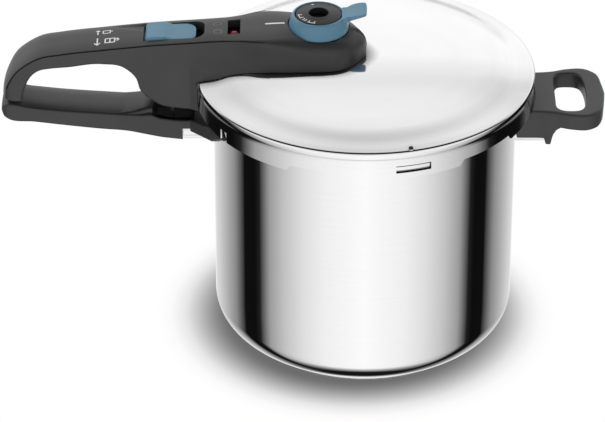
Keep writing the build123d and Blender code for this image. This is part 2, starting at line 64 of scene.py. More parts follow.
def add(tree, kind, inputs=None, stops=(), **settings):
    """One shader node. Settings are its properties and inputs are values, earlier nodes (their first
    output) or sockets. Stops are (position, hex colour) pairs, for a colour ramp."""
    node = tree.nodes.new(kind)
    for name, value in settings.items():
        setattr(node, name, value)
    for name, value in (inputs or {}).items():
        if isinstance(value, bpy.types.Node):
            value = value.outputs[0]
        if isinstance(value, bpy.types.NodeSocket):
            tree.links.new(value, node.inputs[name])
        else:
            node.inputs[name].default_value = value
    for number, (position, colour) in enumerate(stops):
        elements = node.color_ramp.elements
        element = elements[number] if number < len(elements) else elements.new(position)
        element.position = position
        element.color = linear(colour)
    return node


def material(name):
    """A new material with its Principled shader, ready for more nodes."""
    made = bpy.data.materials.new(name)
    made.use_nodes = True
    return made, made.node_tree, made.node_tree.nodes["Principled BSDF"]


# %% [markdown]
# The camera is a long lens from far away, which keeps the pot's sides parallel. It looks down at 31.8
# degrees, straight along +Y.

# %% Camera
camera_data = bpy.data.cameras.new("camera")
camera_data.lens = 222.3
camera_data.sensor_width = 36.0
camera_data.clip_end = 50.0
camera = bpy.data.objects.new("camera", camera_data)
bpy.context.scene.collection.objects.link(camera)
aim = np.array([-0.0457, 0.0, 0.0918])
camera_distance = 2.793
camera_tilt = np.radians(31.8)
camera.location = aim + camera_distance * np.array([0.0, -np.cos(camera_tilt), np.sin(camera_tilt)])
camera.rotation_euler = (np.pi / 2 - camera_tilt, 0.0, 0.0)
bpy.context.scene.camera = camera
bpy.context.scene.view_settings.view_transform = "Standard"

# %% [markdown]
# Mirror-polished steel shows nothing of its own: its look is the studio around it. A good one for steel has
# a broad softbox in front, narrow black flags at both sides and pale walls behind. Here that studio is the
# world: one ramp runs round the horizon from the front to the back, another over the top.

# %% Studio
world = bpy.data.worlds.new("studio")
bpy.context.scene.world = world
world.use_nodes = True
tree = world.node_tree
tree.nodes.clear()
facing = add(tree, "ShaderNodeTexCoord")
axes = add(tree, "ShaderNodeSeparateXYZ", {0: facing.outputs["Generated"]})
to_front = add(tree, "ShaderNodeMath", {0: axes.outputs["Y"], 1: -1.0}, operation="MULTIPLY")
around = add(tree, "ShaderNodeMath", {0: axes.outputs["X"], 1: to_front}, operation="ARCTAN2")
both_sides = add(tree, "ShaderNodeMath", {0: around}, operation="ABSOLUTE")
half_turn = add(tree, "ShaderNodeMath", {0: both_sides, 1: np.pi}, operation="DIVIDE")
round_walls = add(tree, "ShaderNodeValToRGB", {"Fac": half_turn}, [
    (0.0, "#fdfdfd"), (0.17, "#f1f1f1"), (0.26, "#e1e1e1"), (0.355, "#c4c4c4"), (0.433, "#9c9c9c"),
    (0.463, "#6c6c6c"), (0.49, "#1f1f1f"), (0.52, "#0d0d0d"), (0.587, "#0f0f0f"), (0.622, "#606060"),
    (0.66, "#8c8c8c"), (0.76, "#b9b9b9"), (0.83, "#cfcfcf"), (0.9, "#dcdcdc"), (0.96, "#f6f6f6"),
    (1.0, "#ffffff")])
over = add(tree, "ShaderNodeMath", {0: axes.outputs["Z"], 1: axes.outputs["Y"]}, operation="ARCTAN2")
over_turn = add(tree, "ShaderNodeMath", {0: over, 1: np.pi}, operation="DIVIDE")
ceiling = add(tree, "ShaderNodeValToRGB", {"Fac": over_turn}, [
    (0.0, "#ffffff"), (0.17, "#fafafa"), (0.26, "#f4f4f4"), (0.37, "#ebebeb"), (0.43, "#dadada"),
    (0.5, "#c2c2c2"), (0.54, "#202020"), (0.76, "#181818"), (0.82, "#d8d8d8"), (1.0, "#ffffff")])
height = add(tree, "ShaderNodeMapRange", {"Value": axes.outputs["Z"], "From Min": -0.1, "From Max": 0.12},
             interpolation_type="SMOOTHSTEP")
studio = add(tree, "ShaderNodeMix", {"Factor": height, 6: round_walls, 7: ceiling}, data_type="RGBA")
downwards = add(tree, "ShaderNodeMapRange", {"Value": axes.outputs["Z"], "From Min": -0.97, "From Max": -0.8})
grounded = add(tree, "ShaderNodeMix", {"Factor": downwards, 6: linear("#141414"), 7: studio.outputs[2]},
               data_type="RGBA")
looking = add(tree, "ShaderNodeLightPath")
backdrop = add(tree, "ShaderNodeMix", {"Factor": looking.outputs["Is Camera Ray"], 6: grounded.outputs[2],
                                       7: linear("#ffffff")}, data_type="RGBA")
light = add(tree, "ShaderNodeBackground", {"Color": backdrop.outputs[2], "Strength": 1.0})
add(tree, "ShaderNodeOutputWorld", {"Surface": light})
print("studio nodes", len(tree.nodes))

# %% [markdown]
# The floor is a white sweep, so bright that it has no edge. Near the pot a shadow is painted into its glow: a
# ring that darkens towards the pot's foot. It is hidden from mirror reflections, because the pot's sides show
# the walls.


# %% Floor
def plain_mesh(name, points, faces):
    """An object from a list of points and a list of faces."""
    mesh = bpy.data.meshes.new(name)
    mesh.from_pydata(np.asarray(points, float).tolist(), [], [list(map(int, face)) for face in faces])
    mesh.update()
    made = bpy.data.objects.new(name, mesh)
    bpy.context.scene.collection.objects.link(made)
    return made


REACH = 4.0
FLOOR_HEIGHT = -0.0004
floor = plain_mesh("floor", [(-REACH, -REACH, FLOOR_HEIGHT), (REACH, -REACH, FLOOR_HEIGHT),
                             (REACH, REACH, FLOOR_HEIGHT), (-REACH, REACH, FLOOR_HEIGHT)], [(0, 1, 2, 3)])
floor.visible_glossy = False
sweep, tree, shader = material("white sweep with painted shadow")
place = add(tree, "ShaderNodeTexCoord")
# Painted shadow: the glow darkens between 156 mm and 94 mm from a point 7 mm off the axis, towards the left
# and back.
moved = add(tree, "ShaderNodeVectorMath", {0: place.outputs["Object"], 1: (0.005, -0.005, 0.0)},
            operation="ADD")
from_axis = add(tree, "ShaderNodeVectorMath", {0: moved}, operation="LENGTH")
painted_shade = add(tree, "ShaderNodeMapRange", {"Value": from_axis.outputs["Value"], "From Min": 0.094,
                                         "From Max": 0.156},
            interpolation_type="SMOOTHSTEP")
sweep_with_painted_shadow = add(tree, "ShaderNodeValToRGB", {"Fac": painted_shade}, [
    (0.0, "#6c6c6c"), (0.3, "#b6b6b6"), (0.6, "#e6e6e6"), (0.85, "#fafafa"), (1.0, "#ffffff")])
glow = add(tree, "ShaderNodeEmission", {"Color": sweep_with_painted_shadow, "Strength": 1.0})
tree.links.new(glow.outputs[0], tree.nodes["Material Output"].inputs["Surface"])
floor.data.materials.append(sweep)

# %% [markdown]
# A soft lamp high on the left gives the plastic its gentle highlights, and a weaker one fills its front.
# Steel doesn't see them, because it already mirrors the studio.

# %% Lamps
lamps = [("softbox", 1.6, 1.0, 11.0, (-0.9, 0.7, 1.9), (0, 0, 0.2)),
         ("front fill", 1.4, 1.4, 7.0, (0.3, -2.2, 0.9), (-0.1, 0, 0.2))]
for name, width, depth, watts, place, target in lamps:
    data = bpy.data.lights.new(name, "AREA")
    data.shape = "RECTANGLE"
    data.size, data.size_y, data.energy = width, depth, watts
    lamp = bpy.data.objects.new(name, data)
    lamp.location = place
    lamp.rotation_euler = (Vector(place) - Vector(target)).to_track_quat("Z", "Y").to_euler()
    lamp.visible_glossy = False
    bpy.context.scene.collection.objects.link(lamp)

# %% [markdown]
# ## Surfaces from grids
# Almost every piece is a grid of points worked out at once with numpy, then skinned with four-sided faces.


# %% Grid helpers
def smooth(points, count):
    """A curve through points. Between neighbours it is the cubic Hermite blend of both points and their
    slopes, and each slope is the mean direction to the points beside it, over the chord length."""
    p = np.asarray(points, float)
    chord = np.concatenate([[0], np.cumsum(np.linalg.norm(np.diff(p, axis=0), axis=1))])
    slope = np.gradient(p, chord, axis=0)
    t = np.linspace(0, chord[-1], count)
    k = np.clip(np.searchsorted(chord, t, side="right") - 1, 0, len(p) - 2)
    span = (chord[k + 1] - chord[k])[:, None]
    u = ((t - chord[k])[:, None]) / span
    start = (1 + 2 * u) * (1 - u) ** 2 * p[k] + u * (1 - u) ** 2 * span * slope[k]
    end = u ** 2 * (3 - 2 * u) * p[k + 1] + u ** 2 * (u - 1) * span * slope[k + 1]
    return start + end


def straight(points, counts):
    """Straight runs between points, each divided into its own count of steps."""
    p = np.asarray(points, float)
    runs = [p[i] + np.linspace(0, 1, n, endpoint=False)[:, None] * (p[i + 1] - p[i]) for i,
            n in enumerate(counts)]
    return np.concatenate(runs + [p[-1:]])


def arc(centre, radius, first, last, count):
    """Points on a circle from the angle first to last, in degrees."""
    a = np.radians(np.linspace(first, last, count))
    return np.stack([centre[0] + radius * np.cos(a), centre[1] + radius * np.sin(a)], axis=1)


def skin(name, grid, wrap_rows=False, wrap_columns=False, caps=False, keep=None):
    """A mesh over a grid of points: four-sided faces between neighbours, closed on itself where asked, with
    one many-sided face on each open end where caps is true. keep leaves out faces marked False."""
    rows, columns = grid.shape[:2]
    index = np.arange(rows * columns).reshape(rows, columns)
    if wrap_rows:
        index = np.vstack([index, index[:1]])
    if wrap_columns:
        index = np.hstack([index, index[:, :1]])
    quads = np.stack([index[:-1, :-1], index[:-1, 1:], index[1:, 1:], index[1:, :-1]], axis=-1)
    faces = quads.reshape(-1, 4) if keep is None else quads[keep]
    faces = faces.tolist()
    if caps:
        faces += [index[0, :columns][::-1].tolist(), index[rows - 1, :columns].tolist()]
    made = plain_mesh(name, grid.reshape(-1, 3), faces)
    return tidy(made)


def tidy(piece, merge=1e-6):
    """Merges points that coincide, drops flat faces and turns every face outwards."""
    work = bmesh.new()
    work.from_mesh(piece.data)
    bmesh.ops.remove_doubles(work, verts=work.verts, dist=merge)
    bmesh.ops.dissolve_degenerate(work, edges=work.edges, dist=merge)
    bmesh.ops.recalc_face_normals(work, faces=work.faces)
    loose = [vertex for vertex in work.verts if not vertex.link_faces]
    bmesh.ops.delete(work, geom=loose, context="VERTS")
    work.to_mesh(piece.data)
    work.free()
    return piece


def reshaped(piece, change):
    """The piece with its points, rows of (x, y, z) in metres, passed through a function."""
    co = np.zeros(len(piece.data.vertices) * 3, np.float32)
    piece.data.vertices.foreach_get("co", co)
    piece.data.vertices.foreach_set("co", change(co.reshape(-1, 3)).ravel())
    piece.data.update()
    return piece


def joined(name, pieces):
    """One object from several, as separate closed shells in one mesh."""
    work = bmesh.new()
    for piece in pieces:
        work.from_mesh(piece.data)
        bpy.data.objects.remove(piece)
    made = plain_mesh(name, [], [])
    work.to_mesh(made.data)
    work.free()
    return made


def shaded(piece, degrees=35):
    """Smooth shading that breaks at edges sharper than degrees."""
    piece.data.shade_smooth()
    piece.data.set_sharp_from_angle(angle=np.radians(degrees))
    return piece


def lathe(name, profile, angles=360):
    """A closed (radius, height) profile in millimetres, turned about Z."""
    turn = np.radians(np.linspace(0, 360, angles, endpoint=False))[:, None]
    r, z = np.asarray(profile, float).T * MM
    grid = np.stack([r * np.cos(turn), r * np.sin(turn), z + 0 * turn], axis=-1)
    return skin(name, grid, wrap_rows=True, wrap_columns=True)


def finish_piece(piece, body, slot, coat, *replaced, smooth_angle=35):
    """Gives a piece its material, smooth shading and body, and hides the CAD nodes that it stands for."""
    piece.data.materials.clear()
    piece.data.materials.append(coat)
    shaded(piece, smooth_angle)
    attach(piece, body)
    if replaced:
        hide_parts(*replaced)
    print(piece.name, len(piece.data.polygons), "faces")
    return piece


def applied(piece):
    """The piece with its modifiers worked into its mesh."""
    graph = bpy.context.evaluated_depsgraph_get()
    mesh = bpy.data.meshes.new_from_object(piece.evaluated_get(graph))
    piece.modifiers.clear()
    piece.data = mesh
    return piece


def cut(piece, *cutters):
    """Takes each cutter's shape out of the piece, then removes the cutters."""
    for cutter in cutters:
        step = piece.modifiers.new("cut", "BOOLEAN")
        step.operation = "DIFFERENCE"
        step.solver = "EXACT"
        step.object = cutter
    applied(piece)
    for cutter in cutters:
        bpy.data.objects.remove(cutter)
    return piece


# %% [markdown]
# ## Materials
# The pot is 18/10 stainless steel buffed to a mirror. Buffing leaves hairlines round the pot, far too fine
# to see one by one, so they are drawn coarser and only blur the reflections a little.


# %% Stainless steel
RIDGE = 0.035


def steel(name, colour, roughness, hairline, grain=0.02, crown=0.0, painted_shade_power=0.0):
    """Stainless steel: noise stretched round the axis for the buffing marks, and wide soft smudges. A crown
    tips the mirror outwards: a bump shaped like a ridge under the handle, exp(-y^2 / 2w^2), wider at the
    back, that in front also falls off towards the rim as the sixth power of the distance from the axis.
    The last argument paints a contact shade: the steel's colour darkens where another piece is within 11 mm."""
    made, tree, shader = material(name)
    place = add(tree, "ShaderNodeTexCoord")
    lines = add(tree, "ShaderNodeMapping", {"Vector": place.outputs["Object"], "Scale": (20.0, 20.0, 900.0)})
    marks = add(tree, "ShaderNodeTexNoise", {"Vector": lines, "Scale": 1.0, "Detail": 3.0})
    smudges = add(tree, "ShaderNodeTexNoise", {"Vector": place.outputs["Object"], "Scale": 14.0,
                                               "Detail": 2.0})
    blur = add(tree, "ShaderNodeMapRange", {"Value": smudges, "To Min": roughness * 0.85,
                                            "To Max": roughness * 1.2})
    # Painted contact shade: ambient occlusion within 11 mm, raised to a power, mixes the colour towards
    # #0c0c0c.
    contact = add(tree, "ShaderNodeAmbientOcclusion", {"Distance": 0.011}, samples=8)
    painted_shade = add(tree, "ShaderNodeMath", {0: contact.outputs["AO"], 1: painted_shade_power}, operation="POWER")
    clean = add(tree, "ShaderNodeValToRGB", {"Fac": marks}, [(0.3, colour), (0.7, "#fefefe")])
    tone = add(tree, "ShaderNodeMix", {"Factor": painted_shade, 6: linear("#0c0c0c"), 7: clean}, data_type="RGBA")
    axes = add(tree, "ShaderNodeSeparateXYZ", {0: place.outputs["Object"]})
    across = add(tree, "ShaderNodeMath", {0: axes.outputs["Y"], 1: RIDGE}, operation="DIVIDE")
    at_back = add(tree, "ShaderNodeMath", {0: across, 1: 0.4}, operation="MULTIPLY")
    across = add(tree, "ShaderNodeMath", {0: across, 1: at_back}, operation="MINIMUM")
    square = add(tree, "ShaderNodeMath", {0: across, 1: across}, operation="MULTIPLY")
    power = add(tree, "ShaderNodeMath", {0: square, 1: -0.5}, operation="MULTIPLY")
    bell = add(tree, "ShaderNodeMath", {0: power}, operation="EXPONENT")
    ridge = add(tree, "ShaderNodeMath", {0: bell, 1: crown * RIDGE}, operation="MULTIPLY")
    flat = add(tree, "ShaderNodeVectorMath", {0: place.outputs["Object"], 1: (1.0, 1.0, 0.0)},
               operation="MULTIPLY")
    distance = add(tree, "ShaderNodeVectorMath", {0: flat}, operation="LENGTH")
    share = add(tree, "ShaderNodeMath", {0: distance.outputs["Value"], 1: 0.124}, operation="DIVIDE")
    edge = add(tree, "ShaderNodeMath", {0: share, 1: 6.0}, operation="POWER")
    in_front = add(tree, "ShaderNodeMapRange", {"Value": axes.outputs["Y"], "From Min": 0.02,
                                                "From Max": -0.04},
                   interpolation_type="SMOOTHSTEP")
    front_edge = add(tree, "ShaderNodeMath", {0: edge, 1: in_front}, operation="MULTIPLY")
    fall = add(tree, "ShaderNodeMath", {0: front_edge, 1: -0.01 * crown, 2: ridge}, operation="MULTIPLY_ADD")
    domed = add(tree, "ShaderNodeBump", {"Height": fall, "Strength": 1.0, "Distance": 1.0})
    dents = add(tree, "ShaderNodeBump", {"Height": marks, "Strength": hairline, "Distance": grain * MM,
                                         "Normal": domed})
    shader.inputs["Metallic"].default_value = 1.0
    for socket, source in (("Base Color", tone.outputs[2]), ("Roughness", blur.outputs[0]),
                           ("Normal", dents.outputs[0])):
        tree.links.new(source, shader.inputs[socket])
    return made


mirror_steel = steel("buffed stainless steel", "#fcfcfd", 0.035, 0.012)
# The lid's colour carries a painted contact shade next to its handle and other pieces.
lid_steel = steel("polished stainless steel lid", "#fbfbfc", 0.07, 0.008, crown=0.55, painted_shade_power=2.6)
pressed_steel = steel("pressed stainless steel", "#dcdddf", 0.22, 0.3)
turned_steel = steel("turned stainless steel", "#c3c5c8", 0.28, 0.4)

# %% [markdown]
# The handles are phenolic plastic from a polished mould: nearly black, with a satin skin and a faint grain.
# Most of the grey the eye sees is light reflected from the skin, so the colour itself is very dark.


# %% Plastics
def plastic(name, dark, bright, roughness, ior=1.45, grain=0.25, depth=0.02):
    """Moulded plastic: a fine grain of the given size in millimetres, and cloudy changes of tone and
    gloss."""
    made, tree, shader = material(name)
    place = add(tree, "ShaderNodeTexCoord")
    fine = add(tree, "ShaderNodeTexNoise", {"Vector": place.outputs["Object"], "Scale": 1.0 / (grain * MM),
                                            "Detail": 2.0})
    cloud = add(tree, "ShaderNodeTexNoise", {"Vector": place.outputs["Object"], "Scale": 30.0, "Detail": 3.0})
    tone = add(tree, "ShaderNodeValToRGB", {"Fac": cloud}, [(0.35, dark), (0.65, bright)])
    gloss = add(tree, "ShaderNodeMapRange", {"Value": cloud, "To Min": roughness - 0.05,
                                             "To Max": roughness + 0.05})
    skin_grain = add(tree, "ShaderNodeBump", {"Height": fine, "Strength": 0.35, "Distance": depth * MM})
    shader.inputs["IOR"].default_value = ior
    for socket, source in (("Base Color", tone.outputs[0]), ("Roughness", gloss.outputs[0]),
                           ("Normal", skin_grain.outputs[0])):
        tree.links.new(source, shader.inputs[socket])
    return made


phenolic = plastic("dark grey phenolic", "#363637", "#3c3c3d", 0.38)
# This black is nylon on the lock's parts, and painted shade where it lines joints, recesses, the gap between
# the handles and the dial's bore.
black_plastic = plastic("black nylon and painted shade", "#030303", "#050505", 0.6, 1.2)
dial_plastic = plastic("charcoal dial plastic", "#232526", "#292b2c", 0.42)
blue_plastic = plastic("steel blue polypropylene", "#5b8aa3", "#6391aa", 0.32)
red_plastic = plastic("crimson indicator plastic", "#96102c", "#a51832", 0.25, 1.5)
silicone = plastic("grey silicone rubber", "#5b5f61", "#666a6c", 0.55)
white_ink = plastic("white pad print", "#f2f2f2", "#fbfbfb", 0.5)
grey_ink = plastic("grey pad print", "#6e6e6e", "#787878", 0.5)

# %% [markdown]
# ## The pot
# A pot is drawn from one sheet, so its wall has one thickness throughout: the profile goes down the
# outside, round the bottom corner, and back up the inside. Turned about the axis it is closed at every
# point.

# %% Pot body
pot_low, pot_high = (np.array(corner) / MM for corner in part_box("pot_body"))
cap_high = np.array(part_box("base_cap")[1]) / MM
lid_low, lid_high = (np.array(corner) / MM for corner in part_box("lid_shell"))
POT_RADIUS = 111.0
POT_WALL = 1.0
RIM = pot_high[2]
BASE_TOP = pot_low[2]
CORNER = 22.0
FLANGE = POT_RADIUS + 4.5


def pot_profile():
    """Down the outside, round the corner to the axis, and back up the inside to the rim."""
    outer = arc((POT_RADIUS - CORNER, BASE_TOP + CORNER), CORNER, 0, -90, 24)
    inner = arc((POT_RADIUS - CORNER, BASE_TOP + CORNER), CORNER - POT_WALL, -90, 0, 24)
    inside = POT_RADIUS - POT_WALL
    rows = [[(FLANGE, RIM)], [(FLANGE, RIM - 1)], arc((POT_RADIUS + 1.2, RIM - 2.2), 1.2, 90, 180, 6),
            straight([(POT_RADIUS, RIM - 3), (POT_RADIUS, BASE_TOP + CORNER)], [8])[:-1], outer,
            [(60, BASE_TOP), (20, BASE_TOP), (0, BASE_TOP), (0, BASE_TOP + POT_WALL),
             (20, BASE_TOP + POT_WALL),
             (60, BASE_TOP + POT_WALL)], inner, straight([(inside, BASE_TOP + CORNER + 4),
                                                          (inside, RIM - 2)], [8]),
            arc((inside + 2, RIM - 2), 2, 180, 90, 6)]
    return np.concatenate([np.asarray(row, float) for row in rows])


pot = lathe("pot_wall", pot_profile(), 360)
finish_piece(pot, "pot", "polished_steel", mirror_steel, "pot_body", smooth_angle=50)

# %% [markdown]
# Six lugs stand out of the rim, each with its edge turned down. They are hidden under the lid until it
# turns.


# %% Pot lugs
LUG_ANGLES = -131.5 + 56.5 * np.arange(6)
LUG_HALF = 12.0


def swept(name, section, middle, half_angle, steps=24):
    """A closed (radius, height) section in millimetres carried along an arc about the axis, with flat
    ends."""
    turn = np.radians(np.linspace(middle - half_angle, middle + half_angle, steps))[:, None]
    r, z = np.asarray(section, float).T * MM
    grid = np.stack([r * np.cos(turn), r * np.sin(turn), z + 0 * turn], axis=-1)
    return skin(name, grid, wrap_columns=True, caps=True)


lug_outer = POT_RADIUS + 9.5
lug_section = np.concatenate([[(FLANGE - 1, RIM - 0.02), (FLANGE - 1, RIM - 1)],
                              [(lug_outer - 2.4, RIM - 1)], arc((lug_outer - 2.2, RIM - 2.2), 1.2, 90, 0, 5),
                              [(lug_outer - 1, RIM - 9), (lug_outer, RIM - 9)],
                              arc((lug_outer - 2.2, RIM - 2.2), 2.2, 0, 90, 6)])
boss_section = [(lug_outer - 1, RIM - 7.2), (lug_outer + 1.2, RIM - 6.6), (lug_outer + 1.4, RIM - 2.6),
                (lug_outer + 0.6, RIM - 1.8), (lug_outer - 1, RIM - 1.6)]
lugs = joined("pot_lugs", [swept("lug", lug_section, angle, LUG_HALF) for angle in LUG_ANGLES]
              + [swept("boss", boss_section, -74.5, 6.0)])
finish_piece(lugs, "pot", "polished_steel", mirror_steel, "pot_body")

# %% [markdown]
# A steel cap covers the aluminium disc under the pot. Its turned-up edge catches a thin bright line.

# %% Base cap
CAP_RADIUS = cap_high[0]
cap_profile = np.concatenate([[(0, 0.0), (CAP_RADIUS - 2, 0.0)], arc((CAP_RADIUS - 2, 2), 2, -80, 0, 8),
                              [(CAP_RADIUS, cap_high[2] - 0.6), (CAP_RADIUS - 0.4, cap_high[2]),
                               (CAP_RADIUS - 0.8, cap_high[2]), (CAP_RADIUS - 0.8, 0.8), (0, 0.8)]])
cap = lathe("base_plate", cap_profile, 240)
finish_piece(cap, "pot", "base_steel", pressed_steel, "base_cap")

# %% [markdown]
# ## The lid
# The lid is one pressed sheet. Its outside is a grid over the turn and the profile: each point of the
# profile is turned about the axis, and the skirt's last rows stop at an edge whose height changes with the
# angle.

# %% Lid shell
LID_RADIUS = lid_high[0]
LID_WALL = 1.2
SKIRT_RADIUS = LID_RADIUS - 0.8
SKIRT_LOW = lid_low[2]
SHALLOW_LOW = RIM - 6.5
# Degrees about the axis between which the skirt is shallow, and over which it slopes to the full depth.
SHALLOW_SPANS = [(-116.0, -92.5), (-56.0, -34.0), (-3.0, 22.5), (53.5, 79.0), (110.0, 135.5)]
LEAN = 1.58
WINDOW_SPAN = (-80.5, -68.5)
WINDOW_ROWS = (SKIRT_LOW + 4.3, SKIRT_LOW + 10.1)
SLITS = [(-147.76, -144.24)]
SLIT_TOP = RIM - 3.0


def lid_profile(inset=0.0):
    """The dome's curve, the tight shoulder at its edge and the first of the skirt, as (radius, height)
    rows."""
    r, z = LID_RADIUS - inset, RIM - inset
    dome = [(0, z + 21.5), (r - 84, z + 21.1), (r - 46.3, z + 19.4), (r - 34, z + 18.3), (r - 23, z + 16.3),
            (r - 11.3, z + 12.4), (r - 4.5, z + 11)]
    shoulder = [(r - 4.5, z + 11), (r - 1.1, z + 9.9), (r, z + 7.6), (r - 0.8, z + 4)]
    return np.concatenate([smooth(dome, 48)[:-1], smooth(shoulder, 18)])


def skirt_edge(angle):
    """Height of the skirt's lower edge: high along the shallow stretches, with a slope at each of their
    ends."""
    edge = np.full(angle.shape, SKIRT_LOW)
    for first, last in SHALLOW_SPANS:
        outside = np.maximum(first - angle, angle - last)
        rise = np.clip(1 - outside / LEAN, 0, 1)
        edge = np.maximum(edge, SKIRT_LOW + rise * (SHALLOW_LOW - SKIRT_LOW))
    return edge


breaks = [angle for span in SHALLOW_SPANS for angle in (span[0] - LEAN, span[0], span[1], span[1] + LEAN)]
breaks += [angle for span in SLITS + [WINDOW_SPAN] for angle in span]
turns = np.unique(np.round(np.concatenate([np.arange(-180, 180, 0.6), breaks]), 3))
skirt_rows = np.array([RIM + 2, WINDOW_ROWS[1], SLIT_TOP, 200.0, WINDOW_ROWS[0], 196.0, SKIRT_LOW])
radii, heights = lid_profile().T
radii = np.concatenate([radii, np.full(len(skirt_rows), SKIRT_RADIUS)])
heights = np.concatenate([heights, skirt_rows])[None, :] + 0 * turns[:, None]
heights = np.maximum(heights, skirt_edge(turns)[:, None])
angle = np.radians(turns)[:, None]
lid_grid = np.stack([radii * np.cos(angle), radii * np.sin(angle), heights], axis=-1) * MM
middle = (turns + np.append(turns[1:], 180)) / 2
below = (heights[0, :-1] + heights[0, 1:]) / 2
row_middle = np.append(lid_profile()[:-1, 1], (np.append(lid_profile()[-1, 1],
                                                         skirt_rows[:-1]) + skirt_rows) / 2)
inside = (middle[:, None] > WINDOW_SPAN[0]) & (middle[:, None] < WINDOW_SPAN[1])
open_faces = inside & (row_middle > WINDOW_ROWS[0]) & (row_middle < WINDOW_ROWS[1])
for first, last in SLITS:
    inside = (middle[:, None] > first) & (middle[:, None] < last)
    open_faces |= inside & (row_middle < SLIT_TOP)
lid = skin("lid_pressing", lid_grid, wrap_rows=True, keep=~open_faces)
wall = lid.modifiers.new("sheet", "SOLIDIFY")
wall.thickness = LID_WALL * MM
wall.offset = -1.0
wall.use_even_offset = True
applied(lid)


def cylinder(x, y, radius, low, high, sides=64):
    """A plain upright cylinder, used to cut with, in millimetres."""
    turn = np.linspace(0, 2 * np.pi, sides, endpoint=False)
    loop = np.stack([x + radius * np.cos(turn), y + radius * np.sin(turn)], axis=1)
    grid = np.stack([np.column_stack([loop, np.full(sides, z)]) for z in (low, high)]) * MM
    return skin("cutter", grid, wrap_columns=True, caps=True)


def box_shape(x_low, x_high, half_width, z_low, z_high, name="cutter"):
    """A plain box, used to cut with, in millimetres."""
    loop = [(x_low, -half_width), (x_high, -half_width), (x_high, half_width), (x_low, half_width)]
    grid = np.array([[(x, y, z) for x, y in loop] for z in (z_low, z_high)]) * MM
    return skin(name, grid, wrap_columns=True, caps=True)


def at(station, height=0.0):
    """(x, z) in millimetres from a station, counted inwards from the lid's left edge, and a height above
    the rim."""
    return station - LID_RADIUS, RIM + height


SELECTOR_X = at(90.3)[0]
SAFETY_X = at(58.3)[0]
INDICATOR_X, INDICATOR_Y = at(29.3)[0], -4.5
cut(lid, cylinder(SELECTOR_X, 0, 8.05, 215, 235), cylinder(SAFETY_X, 0, 5.05, 215, 235),
    cylinder(INDICATOR_X, INDICATOR_Y, 4.5, 215, 235))
finish_piece(lid, "lid", "lid_steel", lid_steel, "lid_shell", smooth_angle=32)

TAB_INNER = 116.3
tab_section = [(TAB_INNER, SKIRT_LOW), (SKIRT_RADIUS - 0.2, SKIRT_LOW),
               (SKIRT_RADIUS - 0.2, SKIRT_LOW + LID_WALL),
               (TAB_INNER, SKIRT_LOW + LID_WALL)]
tabs = joined("lid_tabs", [swept("tab", tab_section, place, LUG_HALF) for place in LUG_ANGLES])
finish_piece(tabs, "lid", "lid_steel", lid_steel, "lid_shell")

# %% [markdown]
# ## Handles
# A handle is a row of cross sections. The nth section hangs between the nth point of a top line and the nth
# point of a bottom line. Across, it is as wide as the plan at each point's own x, so its sides stand
# upright. Its corners are quarter circles and its top is crowned.


# %% Tube of rounded sections
def tube(name, top, bottom, half_width, crown=0.0, top_edge=1.5, low_edge=1.5):
    """Sections between top[i] and bottom[i]. The edges' radii are one number or one for each section. On
    one side a section runs over the crown, y = u (w - r), then round a corner of radius r, down the
    side, round the lower corner and back to the middle. The other side is its mirror image."""
    top, bottom = np.asarray(top, float), np.asarray(bottom, float)
    run = bottom - top
    last = np.linalg.norm(run, axis=1)[:, None]
    run = run / np.maximum(last, 1e-6)
    width = half_width(top[:, :1])
    room = np.maximum(last, 0.02)
    r = np.minimum(np.minimum(np.reshape(top_edge, (-1, 1)), 0.45 * room), 0.95 * width)
    q = np.minimum(np.minimum(np.reshape(low_edge, (-1, 1)), 0.45 * room), 0.9 * width)
    u = np.linspace(0, 1, 16)[None, :]
    a = np.radians(np.linspace(0, 90, 7))[None, 1:]
    f = np.linspace(0, 1, 10)[None, 1:]
    corner = (r * (1 - np.sin(a)), r * (1 - np.cos(a)))
    side = (0 * r * f, r + f * (last - q - r))
    lower = (q * (1 - np.cos(a)), last - q + q * np.sin(a))
    depth = np.hstack([0 * r - crown * (1 - u ** 3), corner[1], side[1], lower[1], last + 0 * f])
    x = top[:, :1] + run[:, :1] * depth
    z = top[:, 1:] + run[:, 1:] * depth
    wide = half_width(x)
    y_over = u * np.maximum(wide[:, :u.shape[1]] - r, 0)
    inset = np.hstack([corner[0], side[0], lower[0]])
    first = u.shape[1]
    y_side = np.maximum(wide[:, first:first + inset.shape[1]] - inset, 0)
    y_under = (1 - f) * np.maximum(wide[:, first + inset.shape[1]:] - q, 0)
    y = np.hstack([y_over, y_side, y_under])
    half = np.stack([x, y, z], axis=-1)
    mirror = half[:, -2:0:-1] * np.array([1, -1, 1])
    return skin(name, np.concatenate([half, mirror], axis=1) * MM, wrap_columns=True, caps=True)


# %% Lid handle
pairs = [(-139.2, -7.7, -125.7, -8.3), (-138.4, -1.5, -124.9, -3.5), (-136.3, 5, -122.5, 4.2),
         (-129.7, 16, -117.8, 12.2), (-122.7, 22, -112.5, 16.1), (-112.7, 27.7, -105, 17.7),
         (-96.7, 31, -92, 18.9), (-66.7, 34.8, -66.7, 21.5), (-50, 36.7, -51, 18.5), (-42, 37.5, -42.5, 10),
         (-37, 38.05, -39.1, -0.7), (-31.7, 38.6, -32.7, -7), (-20, 39.5, -22.5, -13.5),
         (-12, 40.1, -12, -15),
         (1.3, 41, 2, -15), (10, 41.7, 9, -15), (29.3, 43, 29, 5), (49.3, 45, 49, 5), (64.3, 45.8, 64, 5),
         (80, 45.7, 80, 5), (94.3, 45.2, 94, 5), (104, 44.6, 103, 5), (112.3, 43.3, 111, 5),
         (117.5, 41.8, 116.5, 5),
         (121, 39.2, 120, 5), (123.4, 36, 122.2, 5), (124.7, 32.5, 123.4, 5), (125.3, 28.5, 123.8, 5)]
lines = smooth([(*at(a, b), *at(c, d)) for a, b, c, d in pairs], 260)
cover_line = lines[:, :2]
